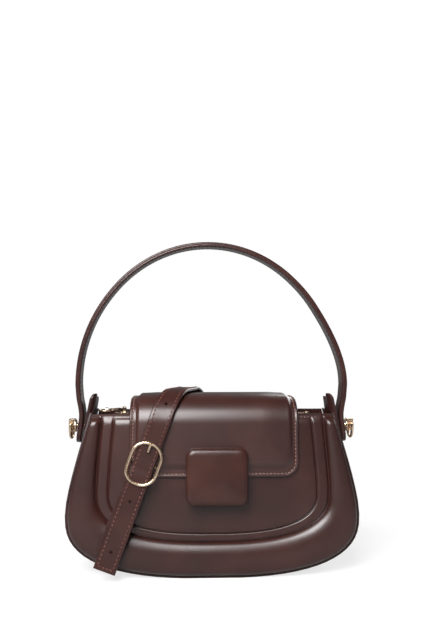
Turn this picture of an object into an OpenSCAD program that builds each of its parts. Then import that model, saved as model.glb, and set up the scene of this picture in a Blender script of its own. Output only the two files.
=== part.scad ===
// Baguette bag with a padded flap, a square lock, an arched handle and a holed strap
// +X is the viewer's right, the front faces -Y, +Z is up, and the bag stands on z = 0
// with the origin under the middle of its base. All sizes are in millimetres.

/* [Body] */
// Width of the bag at its belly
body_w = 250; // [220:2:290]
// Width of the bag at its top rim
top_w = 210; // [180:2:215]
// Height of the top rim above the base
body_h = 138; // [130:1:150]
// Height of the widest place
belly_z = 52; // [44:1:58]
// Depth of the bag at its base
base_depth = 72; // [66:1:84]
// Depth of the bag at its rim
rim_depth = 48; // [44:1:54]
// Thickness of the outer leather
leather_t = 1.8; // [1.4:0.1:2.2]
// Thickness of the stiffening boards
board_t = 1.2; // [0.8:0.1:1.5]
// Thickness of the fabric lining
lining_t = 0.6; // [0.4:0.1:0.8]
// Height of the gusset's ears above the rim
ear_rise = 16; // [10:1:20]
// Width of an ear from front to back
ear_w = 29; // [24:1:34]
// How far the middle of an ear's top edge dips
ear_dip = 5.5; // [3:0.5:7]
// How far an ear is cupped inwards
ear_cup = 4.5; // [4:0.5:8]

/* [Moulded front] */
// Height of the outer padded roll over the panel
roll_rise = 6; // [4:0.5:6]
// Height of the rib and the middle field over the panel
field_rise = 3; // [2:0.5:3.5]
// Distance in from the panel's edge to the roll's foot on the sides, at the belly
roll_side = 21; // [16:1:24]
// Width of the roll at the bottom
roll_base = 25; // [20:1:28]
// Width of the rib between the two grooves
rib_w = 7; // [5:0.5:8]
// Width of each groove
groove_w = 2.4; // [1.5:0.1:3]

/* [Flap] */
// Width of the flap
flap_w = 144; // [130:2:160]
// How far the flap sits to the right of the bag's middle
flap_x = 1; // [0:0.5:3]
// Height of the flap's lower edge
flap_low_z = 84; // [80:1:90]
// Height of the flap's underside over the rim
flap_lift = 9.3; // [8:0.1:12]
// Inner radius where the flap bends over
flap_bend_r = 20; // [18:0.5:22]
// Radius of the flap's lower corners
flap_corner_r = 13; // [8:1:18]
// Inner radius where the flap bends down at the back
flap_rear_r = 12; // [11:0.5:13]
// Distance between the back panel and the flap's leather above the hinge line
rear_lift = 1.5; // [1.3:0.1:2]
// Thickness of the foam in the flap
foam_t = 2.4; // [1.5:0.1:3]
// Width of the flat stitched margin at the sides
margin_side = 7.2; // [5:0.2:9]
// Width of the flat stitched margin at the lower edge
margin_low = 11.7; // [9:0.1:14]
// Height of the hinge line on the back
hinge_z = 124; // [120:0.5:126]
// How far the flap's leather runs down the back below the hinge line
root_run = 17; // [12:1:22]

/* [Lock] */
// Width of the square lock
lock_w = 52; // [46:1:58]
// Height of the square lock
lock_h = 48; // [44:1:52]
// Thickness of the square lock
lock_t = 9; // [7:0.5:10]
// Corner radius of the square lock
lock_r = 7.5; // [5:0.5:10]
// Height of the lock's middle
lock_z = 85.2; // [84:0.2:88]
// How far the lock sits to the right of the bag's middle
lock_x = 3; // [0:0.5:4]
// Diameter of the magnetic snap
snap_d = 14; // [12:0.5:16]

/* [Handle] */
// Width of the handle strap
handle_w = 19; // [16:0.5:22]
// Thickness of the handle strap
handle_t = 4.2; // [3:0.1:5]
// Height of the top of the handle
handle_top = 287; // [250:1:310]
// Width over the handle at its widest
handle_span = 240; // [236:1:250]
// Height at which the handle is widest
handle_wide_z = 161; // [156:1:166]
// Height of the handle's studs
stud_z = 124.5; // [122:0.5:128]
// Diameter of a stud's shank
stud_d = 5; // [4:0.5:6]
// Diameter of the wire of a D-ring
ring_wire = 2.6; // [2:0.1:3]
// Clear width inside a D-ring
ring_in_w = 15; // [13:0.5:18]
// Drop from a D-ring's bar to the middle of its bow
ring_drop = 12; // [10:0.5:14]

/* [Strap] */
// Width of the strap
strap_w = 19; // [17:0.5:20]
// Thickness of the strap
strap_t = 2.6; // [2.2:0.1:2.8]
// Lean of the strap from upright, in degrees
strap_lean = 20.2; // [18:0.1:22]
// Where the strap's middle line crosses the buckle, to the left of the bag's middle
buckle_x = 58; // [56:0.5:60]
// Height of the buckle's middle
buckle_z = 96.5; // [95:0.5:98]
// Distance between the adjusting holes
hole_pitch = 43; // [40:0.5:44]
// Diameter of an adjusting hole
hole_d = 2.6; // [2:0.1:3.2]
// Length of the strap's free tail below the buckle's middle
tail_len = 93; // [84:1:95]
// Length of each run of the strap folded away behind the bag
run_len = 100; // [90:1:104]
// Number of those runs
run_count = 6; // [4:2:6]
// Thickness of the leather of the short buckle tab
tab_t = 1.8; // [1.4:0.1:1.8]

/* [Buckle] */
// Outer width of the buckle frame, across the strap
buckle_w = 26.4; // [25.5:0.1:28]
// Outer length of the buckle frame, along the strap
buckle_len = 35; // [33:0.5:37]
// Diameter of the frame's wire
buckle_wire = 2.6; // [2.2:0.1:2.8]

/* [Zip] */
// Length of the zip between its end stops
zip_len = 167; // [150:1:170]
// Thickness of a zip tape
tape_t = 0.6; // [0.5:0.1:0.8]
// Width over the closed teeth
teeth_w = 5.4; // [4.5:0.1:6]
// Height over the closed teeth
teeth_h = 2.4; // [2:0.1:2.8]
// Depth of the zip below the rim
zip_drop = 4; // [3:0.5:6]
// Diameter of the ring on the zip's puller
pull_ring_d = 13; // [11:0.5:15]

/* [Fits] */
// Clearance between parts that move past each other
gap = 0.3; // [0.25:0.05:0.4]
// Clearance between a pin and its hole, on the radius
pin_fit = 0.08; // [0.05:0.01:0.1]

/* [Hidden] */
$fn = 48;
wire_fn = 24;

leather_brown = "#4d393b";
dark_brown = "#3a2a29";
pale_gold = "#d9bd8c";
cloth_brown = "#5a463f";
big = 400;

// The front and back lean in towards the rim by this angle
lean = atan((base_depth - rim_depth) / 2 / body_h);
// Half depth of the bag's leather skin at a height
function half_depth(z) = rim_depth / 2 + (body_h - z) * tan(lean);

// Half width of an outline: a rounded belly below its widest height and a taper above it
function taper(dz) = dz * dz / (dz + 30);
function outline(half, belly, base, rim_half, top, power, steps = 16) =
    let (low = [for (i = [1:steps]) let (a = 90 * i / steps)
            [half * pow(sin(a), 2 / power), belly - (belly - base) * pow(cos(a), 2 / power)]],
        high = [for (i = [1:8]) let (dz = (top - belly) * i / 8)
            [half - (half - rim_half) * taper(dz) / taper(body_h - belly), belly + dz]],
        side = concat(low, high))
    concat([[0, base]], side, [for (i = [len(side) - 1:-1:0]) [-side[i][0], side[i][1]]]);

belly_power = 2.6;
rest_sink = 0.3;
// The bag's outline, drawn in by an amount all round and cut flat where it stands
module bag_outline(inset = 0, top = body_h) {
    intersection() {
        polygon(outline(body_w / 2 - inset, belly_z, inset - rest_sink, top_w / 2 - inset, top,
            belly_power));
        translate([-big / 2, inset]) square(big);
    }
}

// Puts a shape drawn in X and Z on the leaning front, at a height over the leather skin.
// turn = 1 is the front and turn = -1 the back.
module on_face(level, thick, turn = 1) {
    rotate([0, 0, turn > 0 ? 0 : 180])
        translate([0, -half_depth(0), 0])
            rotate([-lean, 0, 0])
                rotate([90, 0, 0])
                    translate([0, 0, level])
                        linear_extrude(thick) children();
}

// Everything between the two leaning faces, drawn in by an amount
module between_faces(inset = 0) {
    rotate([90, 0, 90])
        translate([0, 0, -big / 2])
            linear_extrude(big)
                polygon([[-half_depth(-20) + inset, -20], [half_depth(-20) - inset, -20],
                    [half_depth(body_h + 40) - inset, body_h + 40],
                    [-half_depth(body_h + 40) + inset, body_h + 40]]);
}

module rounded(w, h, r) {
    translate([-w / 2 + r, -h / 2]) square([w - 2 * r, h]);
    translate([-w / 2, -h / 2 + r]) square([w, h - 2 * r]);
    for (x = [-1, 1], y = [-1, 1]) translate([x * (w / 2 - r), y * (h / 2 - r)]) circle(r);
}

// Panels. The side skin wraps over the panels' edges, so panels stay inside it.
side_in = leather_t + gap;
panel_top = body_h - 0.5;

// The field's and the groove's outlines on the moulded front
groove_out_half = body_w / 2 - roll_side - 4.4;
module roll_inside(grow = 0) {
    polygon(outline(groove_out_half + grow, belly_z + 20, roll_base + 1.4 - grow,
        top_w / 2 - roll_side + 10 + grow, body_h + 8, belly_power));
}

// The field stops short of the rim, where the flap starts to bend
field_drop = 6.5;
module front_panel() {
    color(leather_brown) difference() {
        union() {
            on_face(-leather_t, leather_t) bag_outline(side_in, panel_top);
            on_face(-0.01, roll_rise + 0.01) difference() {
                bag_outline(side_in + 2.2, panel_top - 3);
                roll_inside();
            }
            on_face(-0.01, roll_rise * 0.55) difference() {
                bag_outline(side_in, panel_top - 1.5);
                roll_inside();
            }
            on_face(-0.01, field_rise + 0.01) intersection() {
                bag_outline(side_in + 1, panel_top - field_drop);
                difference() {
                    roll_inside(-groove_w);
                    difference() {
                        roll_inside(-groove_w - rib_w);
                        roll_inside(-2 * groove_w - rib_w);
                    }
                }
            }
        }
        translate([lock_x, 0, lock_z]) snap_space();
    }
}

// Room for the snap's plate through the panel and the board
module snap_space() {
    dist = half_depth(lock_z);
    translate([0, -dist, 0]) rotate([90 - lean, 0, 0])
        translate([0, 0, -5]) cylinder(d = snap_d + 2 * gap, h = 5 + field_rise + 1);
}

module back_panel() {
    color(leather_brown) on_face(-leather_t, leather_t, -1) bag_outline(side_in, panel_top);
}

// Side skin: one strip that runs from ear to ear round the base
ear_corner_r = 5;
ear_out = 0.7;
module ear_shape() {
    tall = body_h + ear_rise - belly_z;
    difference() {
        translate([0, belly_z + tall / 2]) rounded(ear_w, tall, ear_corner_r);
        translate([0, body_h + ear_rise + dip_r - ear_dip]) circle(dip_r);
    }
}

side_slope = atan((body_w - top_w) / 2 / (body_h - belly_z)) + 2.2;
cup_r = (ear_w * ear_w / 4 + ear_cup * ear_cup) / (2 * ear_cup);
dip_w = ear_w - 2 * ear_corner_r;
dip_r = (dip_w * dip_w / 4 + ear_dip * ear_dip) / (2 * ear_dip);
module ear() {
    intersection() {
        translate([top_w / 2 + ear_out, 0, body_h]) rotate([0, -side_slope, 0])
            translate([cup_r - ear_cup, 0, -22]) difference() {
                cylinder(r = cup_r, h = 60);
                translate([0, 0, -1]) cylinder(r = cup_r - leather_t, h = 62);
            }
        rotate([90, 0, 90]) translate([0, 0, 80]) linear_extrude(40) ear_shape();
        translate([80, -ear_w / 2, body_h - 16]) cube([40, ear_w, 60]);
    }
}

module gusset() {
    color(leather_brown) difference() {
        union() {
            intersection() {
                rotate([90, 0, 0]) translate([0, 0, -big / 2]) linear_extrude(big) difference() {
                    bag_outline(0);
                    bag_outline(leather_t, body_h + 10);
                }
                between_faces();
            }
            for (s = [0, 1]) mirror([s, 0, 0]) ear();
        }
        stud_holes(stud_d / 2 + pin_fit);
    }
}

module stud_holes(r) {
    for (s = [-1, 1]) translate([s * (body_w / 2 - 20), 0, stud_z]) rotate([0, 90, 0])
        cylinder(r = r, h = 60, center = true);
}

board_edge = side_in + 3;
module front_board() {
    color("tan") difference() {
        on_face(-leather_t - board_t, board_t) bag_outline(board_edge, panel_top - 16);
        translate([lock_x, 0, lock_z]) snap_space();
    }
}
module back_board() {
    color("tan") on_face(-leather_t - board_t, board_t, -1) bag_outline(board_edge, panel_top - 16);
}
base_board_w = 90;
base_board_t = 1.6;
module base_board() {
    color("tan") intersection() {
        rotate([90, 0, 0]) translate([0, 0, -big / 2]) linear_extrude(big) intersection() {
            difference() {
                bag_outline(leather_t + gap);
                bag_outline(leather_t + gap + base_board_t);
            }
            translate([-base_board_w / 2, 0]) square([base_board_w, 20]);
        }
        between_faces(leather_t + board_t + 2 * gap);
    }
}

// Lining: two faces and a side strip of cloth inside the boards
lining_in = leather_t + board_t + gap;
lining_top = body_h - zip_drop - 3;
module lining_front() {
    color(cloth_brown) on_face(-lining_in - lining_t, lining_t)
        bag_outline(side_in + base_board_t + 2 * gap + 1, lining_top - 2);
}
module lining_back() {
    color(cloth_brown) on_face(-lining_in - lining_t, lining_t, -1)
        bag_outline(side_in + base_board_t + 2 * gap + 1, lining_top - 2);
}
side_lining_in = leather_t + base_board_t + 2 * gap;
module lining_side() {
    color(cloth_brown) difference() {
        intersection() {
            rotate([90, 0, 0]) translate([0, 0, -big / 2]) linear_extrude(big) difference() {
                bag_outline(side_lining_in, body_h - 30);
                bag_outline(side_lining_in + lining_t, body_h - 20);
            }
            between_faces(lining_in + lining_t + gap);
        }
        stud_holes(stud_d + 2);
    }
}
pocket_w = 110;
pocket_h = 70;
module inner_pocket() {
    color(cloth_brown) on_face(-lining_in - 2 * lining_t - gap, lining_t, -1)
        translate([0, 36 + pocket_h / 2]) rounded(pocket_w, pocket_h, 8);
}

// Rim: a leather facing inside each panel carries the zip
facing_t = 1.2;
facing_h = 14;
module facing(turn) {
    intersection() {
        on_face(-leather_t - facing_t, facing_t, turn) bag_outline(side_in + 3.5, panel_top);
        translate([-big / 2, -big / 2, panel_top - facing_h]) cube([big, big, facing_h + 1]);
    }
}
module facing_front() { color(dark_brown) facing(1); }
module facing_back() { color(dark_brown) facing(-1); }

// Zip: two tapes between the facings, closed teeth, and a slider parked at the left end
zip_z = body_h - zip_drop;
tape_out = half_depth(zip_z) - (leather_t + facing_t + 0.15) / cos(lean);
tape_half = zip_len / 2 + 5;
module zip_tape(turn) {
    mirror([0, turn > 0 ? 0 : 1, 0])
        translate([-tape_half, -tape_out, zip_z - tape_t / 2])
            cube([2 * tape_half, tape_out - teeth_w / 2, tape_t]);
}
module zip_tape_front() { color(cloth_brown) zip_tape(1); }
module zip_tape_back() { color(cloth_brown) zip_tape(-1); }
// The slider's web runs in the slit between the two rows of teeth
web_t = 0.7;
slit_w = web_t + 2 * gap;
module zip_teeth() {
    color(pale_gold) for (s = [0, 1]) mirror([0, s, 0])
        translate([-zip_len / 2, slit_w / 2, zip_z - teeth_h / 2])
            cube([zip_len, (teeth_w - slit_w) / 2, teeth_h]);
}
stop_l = 3;
module zip_stops() {
    color(pale_gold) for (s = [-1, 1])
        translate([s * (zip_len / 2 + stop_l / 2 + 0.05), 0, zip_z]) difference() {
            cube([stop_l, teeth_w + 2, teeth_h + 2], center = true);
            for (m = [-1, 1]) translate([0, m * (teeth_w / 2 + 2), 0])
                cube([stop_l + 1, 4.1, tape_t + 0.1], center = true);
        }
}

// The slider is a hollow block round the teeth, with a bridge for the puller on top
slider_l = 9;
slider_w = teeth_w + 2.6;
slider_h = teeth_h + 2.6;
slider_x = -zip_len / 2 + slider_l / 2 + 1;
bridge_h = 5.2;
puller_pin = 0.5;
bridge_bore = 1.15;
// The puller lies to the left and a little forwards, and its pin has play to allow that
puller_yaw = 38;
puller_l = 18;
puller_t = 1.4;
arm_in = 1.8;
module zip_slider() {
    color(pale_gold) translate([slider_x, 0, zip_z]) {
        difference() {
            cube([slider_l, slider_w, slider_h], center = true);
            cube([slider_l + 1, teeth_w + 2 * gap, teeth_h + 2 * gap], center = true);
            cube([slider_l + 1, slider_w + 1, tape_t + 2 * gap], center = true);
        }
        cube([slider_l - 3, web_t, slider_h - 0.4], center = true);
        translate([0, 0, slider_h / 2 - 0.3]) difference() {
            translate([-1.5, -0.55, 0]) cube([3, 1.1, bridge_h]);
            translate([0, 0, bridge_h - 1.8]) rotate([90, 0, 0])
                cylinder(r = bridge_bore, h = 4, center = true);
        }
    }
}
puller_z = zip_z + slider_h / 2 + bridge_h - 2.1;
eye = [slider_x - puller_l * cos(puller_yaw), -puller_l * sin(puller_yaw), puller_z];
pull_wire = 1.4;
module zip_puller() {
    color(pale_gold) difference() {
        union() {
            translate([slider_x, 0, puller_z]) rotate([0, 0, puller_yaw]) {
                rotate([90, 0, 0]) cylinder(r = puller_pin, h = 2 * arm_in + 1, center = true);
                for (s = [-1, 1]) translate([-5, s * (arm_in + 0.35), 0])
                    cube([11.4, 0.7, puller_t], center = true);
                translate([-puller_l + 4.6, -arm_in - 0.7, -puller_t / 2])
                    cube([puller_l - 11.6, 2 * arm_in + 1.4, puller_t]);
                translate([-puller_l + 0.8, -1, -puller_t / 2]) cube([4.2, 2, puller_t]);
            }
            translate(eye) rotate([0, 90, 0]) cylinder(r = 1.9, h = 2, center = true);
        }
        translate(eye) rotate([0, 90, 0])
            cylinder(d = pull_wire + 0.4, h = puller_l, center = true);
    }
}
// Ring through the puller's eye, lying forwards over the rim
ring_mid = pull_ring_d / 2 - pull_wire / 2;
module zip_ring() {
    color(pale_gold) translate(eye - [0, ring_mid, 0])
        rotate_extrude() translate([ring_mid, 0]) circle(d = pull_wire, $fn = 16);
}

// Flap: its underside follows the front, two bends and the back
plane_0 = half_depth(0) * cos(lean);
under_front = plane_0 + field_rise + 0.4;
under_rear = plane_0 + rear_lift;
bend_z = body_h + flap_lift - flap_bend_r;
bend_front = -(under_front - bend_z * sin(lean) - flap_bend_r) / cos(lean);
rear_z = body_h + flap_lift - flap_rear_r;
bend_rear = (under_rear - rear_z * sin(lean) - flap_rear_r) / cos(lean);
bend_step = (90 - lean) / 12;
function flap_points(d) = let (r = flap_bend_r + d, q = flap_rear_r + d, run = 120) concat(
    [[bend_front - r * cos(lean) - run * sin(lean), bend_z + r * sin(lean) - run * cos(lean)]],
    [for (a = [180 - lean:-bend_step:89.9]) [bend_front + r * cos(a), bend_z + r * sin(a)]],
    [for (a = [90:-bend_step:lean - 0.1]) [bend_rear + q * cos(a), rear_z + q * sin(a)]],
    [[bend_rear + q * cos(lean) + run * sin(lean), rear_z + q * sin(lean) - run * cos(lean)]]);
module flap_layer(d0, d1, width) {
    translate([flap_x - width / 2, 0, 0]) rotate([90, 0, 90]) linear_extrude(width)
        polygon(concat(flap_points(d1), [for (i = [len(flap_points(d0)) - 1:-1:0])
            flap_points(d0)[i]]));
}
module flap_front_cut(width, low, r) {
    rotate([90, 0, 0]) linear_extrude(100) translate([flap_x, low + 100])
        rounded(width, 200, r);
}
module flap_rear_cut(width, low) {
    translate([flap_x - width / 2, -0.01, low]) cube([width, 100, 100]);
}
lining_flap_t = 1;
pad_low = foam_t + lining_flap_t;
pad_top = pad_low + leather_t;
margin_top = lining_flap_t + leather_t;
pad_w = flap_w - 2 * margin_side;
pad_z = flap_low_z + margin_low;
pad_rear_z = hinge_z + 14;
module flap_leather() {
    color(leather_brown) {
        intersection() {
            flap_layer(lining_flap_t, margin_top, flap_w);
            union() {
                difference() {
                    flap_front_cut(flap_w, flap_low_z, flap_corner_r);
                    flap_front_cut(pad_w, pad_z, flap_corner_r - 4);
                }
                difference() {
                    flap_rear_cut(flap_w, hinge_z + gap);
                    flap_rear_cut(pad_w, pad_rear_z);
                }
            }
        }
        intersection() {
            difference() {
                flap_layer(lining_flap_t, pad_top, pad_w + 0.02);
                flap_layer(lining_flap_t - 1, pad_low, pad_w - 2 * leather_t);
            }
            union() {
                flap_front_cut(pad_w + 0.02, pad_z - 0.01, flap_corner_r - 4);
                flap_rear_cut(pad_w + 0.02, pad_rear_z - 0.01);
            }
        }
    }
}
module flap_foam() {
    color("beige") intersection() {
        flap_layer(lining_flap_t + 0.02, pad_low - 0.02, pad_w - 2 * leather_t - 0.1);
        union() {
            flap_front_cut(pad_w - 2 * leather_t - 0.1, pad_z + leather_t, flap_corner_r - 5);
            flap_rear_cut(pad_w - 2 * leather_t - 0.1, pad_rear_z + leather_t);
        }
    }
}
module flap_lining() {
    color(dark_brown) difference() {
        intersection() {
            flap_layer(0, lining_flap_t - 0.02, flap_w - 1);
            union() {
                flap_front_cut(flap_w - 1, flap_low_z + 0.5, flap_corner_r);
                flap_rear_cut(flap_w - 1, hinge_z + gap);
            }
        }
        at_lock(-2, 4) circle(d = snap_d - 2);
    }
}
// The leather below the hinge line, sewn to the back panel
module flap_root() {
    color(leather_brown) intersection() {
        flap_layer(-rear_lift + 0.02, margin_top - 0.5, flap_w);
        translate([flap_x - flap_w / 2, 0, hinge_z - root_run]) cube([flap_w, 100, root_run]);
    }
}

// Square lock on the flap's lower edge. Its frame lies on the flap's underside plane.
lock_y = -(under_front - lock_z * sin(lean)) / cos(lean);
module at_lock(level, thick) {
    translate([lock_x, lock_y, lock_z]) rotate([90 - lean, 0, 0])
        translate([0, 0, level]) linear_extrude(thick) children();
}
lock_foot = pad_top + 0.1;
cover_t = 1.4;
module lock_cover() {
    color(leather_brown) difference() {
        union() {
            at_lock(lock_foot, lock_t - 2) rounded(lock_w, lock_h, lock_r);
            at_lock(lock_foot + lock_t - 2.01, 1.01) rounded(lock_w - 2, lock_h - 2, lock_r - 1);
            at_lock(lock_foot + lock_t - 1.01, 1.01) rounded(lock_w - 6, lock_h - 6, lock_r - 3);
        }
        at_lock(lock_foot + cover_t - 0.05, lock_t - 2 * cover_t - 0.6)
            rounded(lock_w - 2 * cover_t, lock_h - 2 * cover_t, lock_r - cover_t);
    }
}
module lock_core() {
    color("beige") at_lock(lock_foot + cover_t, lock_t - 2 * cover_t - 0.7)
        rounded(lock_w - 2 * cover_t - 0.1, lock_h - 2 * cover_t - 0.1, lock_r - cover_t);
}
// Magnetic snap: the dish is let into the front panel, the nub hangs under the flap
nub_d = 5;
dish_d = 9;
module snap_male() {
    color(pale_gold) {
        at_lock(-0.25, 1.2) circle(d = snap_d - 2.4);
        at_lock(-1.6, 1.36) circle(d = nub_d);
    }
}
module snap_female() {
    color(pale_gold) difference() {
        at_lock(-field_rise - 0.4 - leather_t + 0.1, leather_t + field_rise - 0.1)
            circle(d = snap_d);
        at_lock(-2.2, 3) circle(d = dish_d);
    }
}
module snap_washer() {
    color(pale_gold) at_lock(-field_rise - 0.4 - leather_t - board_t - 0.25, 0.2)
        circle(d = snap_d + 4);
}

// Handle: an elliptic arch whose ends lie outside the side skin, hung on two studs
handle_rise = handle_top - handle_wide_z;
handle_leg = [[0, 0], [-0.9, -12], [-2.6, -20], [-3.4, -27], [-2.4, -35], [0, -51]];
function arch(grow) = concat(
    [for (p = [len(handle_leg) - 1:-1:1])
        [-(handle_span / 2 + grow + handle_leg[p][0]), handle_wide_z + handle_leg[p][1]]],
    [for (a = [180:-5:0]) [(handle_span / 2 + grow) * cos(a), handle_wide_z
        + (handle_rise + grow) * sin(a)]],
    [for (p = [1:len(handle_leg) - 1])
        [handle_span / 2 + grow + handle_leg[p][0], handle_wide_z + handle_leg[p][1]]]);
module handle_strap() {
    color(leather_brown) difference() {
        intersection() {
            translate([0, handle_w / 2, 0]) rotate([90, 0, 0]) linear_extrude(handle_w)
                polygon(concat(arch(0), [for (i = [len(arch(0)) - 1:-1:0]) arch(-handle_t)[i]]));
            rotate([90, 0, 90]) translate([0, 0, -big / 2]) linear_extrude(big) union() {
                translate([-handle_w / 2, stud_z - 5]) square([handle_w, big]);
                translate([0, stud_z - 5]) circle(handle_w / 2);
            }
        }
        stud_holes(stud_d / 2 + pin_fit);
    }
}

// Studs: a shank through the handle and the side skin, a flange, and a lug for a D-ring
nut_t = 2;
nut_d = 11;
nut_face = top_w / 2 + ear_out - ear_cup - leather_t / cos(side_slope)
    + (body_h - stud_z - nut_d / 2) * tan(side_slope) - gap;
stud_in = nut_face - nut_t - 0.4;
flange_x = handle_span / 2 + 0.1;
lug_w = 8;
lug_x = flange_x + 4.2;
lug_z = stud_z + 1.5;
module stud() {
    color(pale_gold) difference() {
        union() {
            translate([stud_in, 0, stud_z]) rotate([0, 90, 0])
                cylinder(d = stud_d, h = flange_x - stud_in + 0.5);
            translate([flange_x, 0, stud_z]) rotate([0, 90, 0]) cylinder(d = 11, h = 1.4);
            translate([flange_x + 1, -lug_w / 2, stud_z - 4.5]) cube([5.4, lug_w, 10.5]);
        }
        translate([lug_x, 0, lug_z]) rotate([90, 0, 0])
            cylinder(d = ring_wire + 2 * pin_fit, h = lug_w + 2, center = true);
    }
}
module stud_right() { stud(); }
module stud_left() { mirror([1, 0, 0]) stud(); }
module stud_nuts() {
    color(pale_gold) for (s = [0, 1]) mirror([s, 0, 0])
        translate([nut_face - nut_t, 0, stud_z]) rotate([0, 90, 0]) difference() {
            cylinder(d = nut_d, h = nut_t);
            translate([0, 0, -1]) cylinder(d = stud_d + 0.02, h = nut_t + 2);
        }
}
module d_ring() {
    half_w = ring_in_w / 2 + ring_wire / 2;
    straight = ring_drop - half_w;
    color(pale_gold) translate([lug_x, 0, lug_z]) {
        rotate([90, 0, 0]) cylinder(d = ring_wire, h = 2 * half_w, center = true, $fn = wire_fn);
        for (s = [-1, 1]) {
            translate([0, s * half_w, 0]) sphere(d = ring_wire, $fn = wire_fn);
            translate([0, s * half_w, -straight])
                cylinder(d = ring_wire, h = straight, $fn = wire_fn);
        }
        translate([0, 0, -straight]) rotate([0, 90, 0]) rotate([0, 0, -90])
            rotate_extrude(angle = 180) translate([half_w, 0])
                circle(d = ring_wire, $fn = wire_fn);
    }
}
module d_ring_right() { d_ring(); }
module d_ring_left() { mirror([1, 0, 0]) d_ring(); }

// Strap: it lies a little above the flap, over both bends, and leans as it runs
strap_level = pad_top + 2.6;
strap_mid = strap_level + strap_t / 2;
strap_bend = flap_bend_r + strap_mid;
strap_rear_bend = flap_rear_r + strap_mid;
bend_arc = 90 - lean;
front_run = strap_bend * bend_arc * PI / 180;
rear_run = strap_rear_bend * bend_arc * PI / 180;
flat_run = bend_rear - bend_front;
// A point of the strap's path at a run from the front bend's foot and a level over the flap's
// underside, as [y, z]
function over_flap(s, d) = let (r = flap_bend_r + d, q = flap_rear_r + d, s2 = s - front_run,
        s3 = s2 - flat_run, s4 = s3 - rear_run)
    s < 0 ? [bend_front - r * cos(lean) + s * sin(lean), bend_z + r * sin(lean) + s * cos(lean)]
    : s2 < 0 ? let (a = 180 - lean - s / strap_bend * 180 / PI)
        [bend_front + r * cos(a), bend_z + r * sin(a)]
    : s3 < 0 ? [bend_front + s2, bend_z + r]
    : s4 < 0 ? let (a = 90 - s3 / strap_rear_bend * 180 / PI)
        [bend_rear + q * cos(a), rear_z + q * sin(a)]
    : [bend_rear + q * cos(lean) + s4 * sin(lean), rear_z + q * sin(lean) - s4 * cos(lean)];
buckle_s = -(bend_z + flap_bend_r * sin(lean) - buckle_z) / cos(lean);
hinge_s = front_run + flat_run + rear_run
    + (rear_z + flap_rear_r * sin(lean) - hinge_z) / cos(lean);
hinge_x = -buckle_x + (hinge_s - buckle_s) * tan(strap_lean);
// A point of the strap from its distance along, its distance across and its level
function strap_point(t, u, d) =
    let (s = buckle_s + t * cos(strap_lean) - u * sin(strap_lean),
        p = over_flap(s, d))
    [-buckle_x + t * sin(strap_lean) + u * cos(strap_lean), p[0], p[1]];
upper_from = -buckle_len / 2 - 0.3;
upper_to = (hinge_s - buckle_s + strap_w / 2 * sin(strap_lean)) / cos(strap_lean);
upper_steps = 36;
across = 2;
module strap_upper() {
    step = (upper_to - upper_from) / upper_steps;
    row = 2 * (across + 1);
    points = [for (i = [0:upper_steps]) each concat(
        [for (j = [0:across]) strap_point(upper_from + i * step,
            strap_w * (j / across - 0.5), strap_level)],
        [for (j = [across:-1:0]) strap_point(upper_from + i * step,
            strap_w * (j / across - 0.5), strap_level + strap_t)])];
    last = upper_steps * row;
    faces = concat(
        [for (j = [0:across - 1]) each [[j, j + 1, row - 2 - j], [j, row - 2 - j, row - 1 - j]]],
        [for (j = [0:across - 1]) each [[last + j, last + row - 2 - j, last + j + 1],
            [last + j, last + row - 1 - j, last + row - 2 - j]]],
        [for (i = [0:upper_steps - 1], k = [0:row - 1]) let (a = i * row, n = (k + 1) % row)
            each [[a + k, a + row + k, a + row + n], [a + k, a + row + n, a + n]]]);
    color(leather_brown) difference() {
        polyhedron(points, faces);
        at_buckle(0) translate([0, prong_t, strap_level - 1]) cylinder(d = hole_d, h = 6);
        hole = strap_point(prong_t + hole_pitch, 0, 0);
        tip = strap_point(prong_t + hole_pitch, 0, strap_level);
        translate([-big / 2, 20, hinge_z + gap / 2 - 60]) cube([big, 60, 60]);
        translate(tip) rotate([atan2(hole[1] - tip[1], tip[2] - hole[2]), 0, 0])
            cylinder(d = hole_d, h = 12, center = true);
    }
}

// Frame at the buckle's middle: Y runs up along the strap, Z out of the flap
buckle_y = -(under_front - buckle_z * sin(lean)) / cos(lean);
prong_t = 10;
module at_buckle(level) {
    translate([-buckle_x, buckle_y, buckle_z]) rotate([90 - lean, 0, 0])
        rotate([0, 0, -strap_lean]) translate([0, 0, level]) children();
}
tail_top = upper_from - gap;
module strap_tail() {
    color(leather_brown) at_buckle(strap_level) difference() {
        translate([-strap_w / 2, -tail_len, 0]) cube([strap_w, tail_len + tail_top, strap_t]);
        for (k = [1:2]) translate([0, prong_t - k * hole_pitch, -1]) cylinder(d = hole_d, h = 6);
    }
}
// The rest of the strap runs down the back and is folded away behind the bag
fold_pitch = strap_t + 0.8;
last_run = 34;
first_run = 112;
rear_y = (under_rear - hinge_z * sin(lean)) / cos(lean);
module at_rear(level) {
    translate([hinge_x, rear_y, hinge_z]) rotate([0, 0, 180]) rotate([90 - lean, 0, 0])
        rotate([0, 0, -strap_lean]) translate([0, 0, level]) children();
}
// One run of the folded strap, in run and level, between two places along it
module run(level, low, high) { translate([low, level]) square([high - low, strap_t]); }
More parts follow.
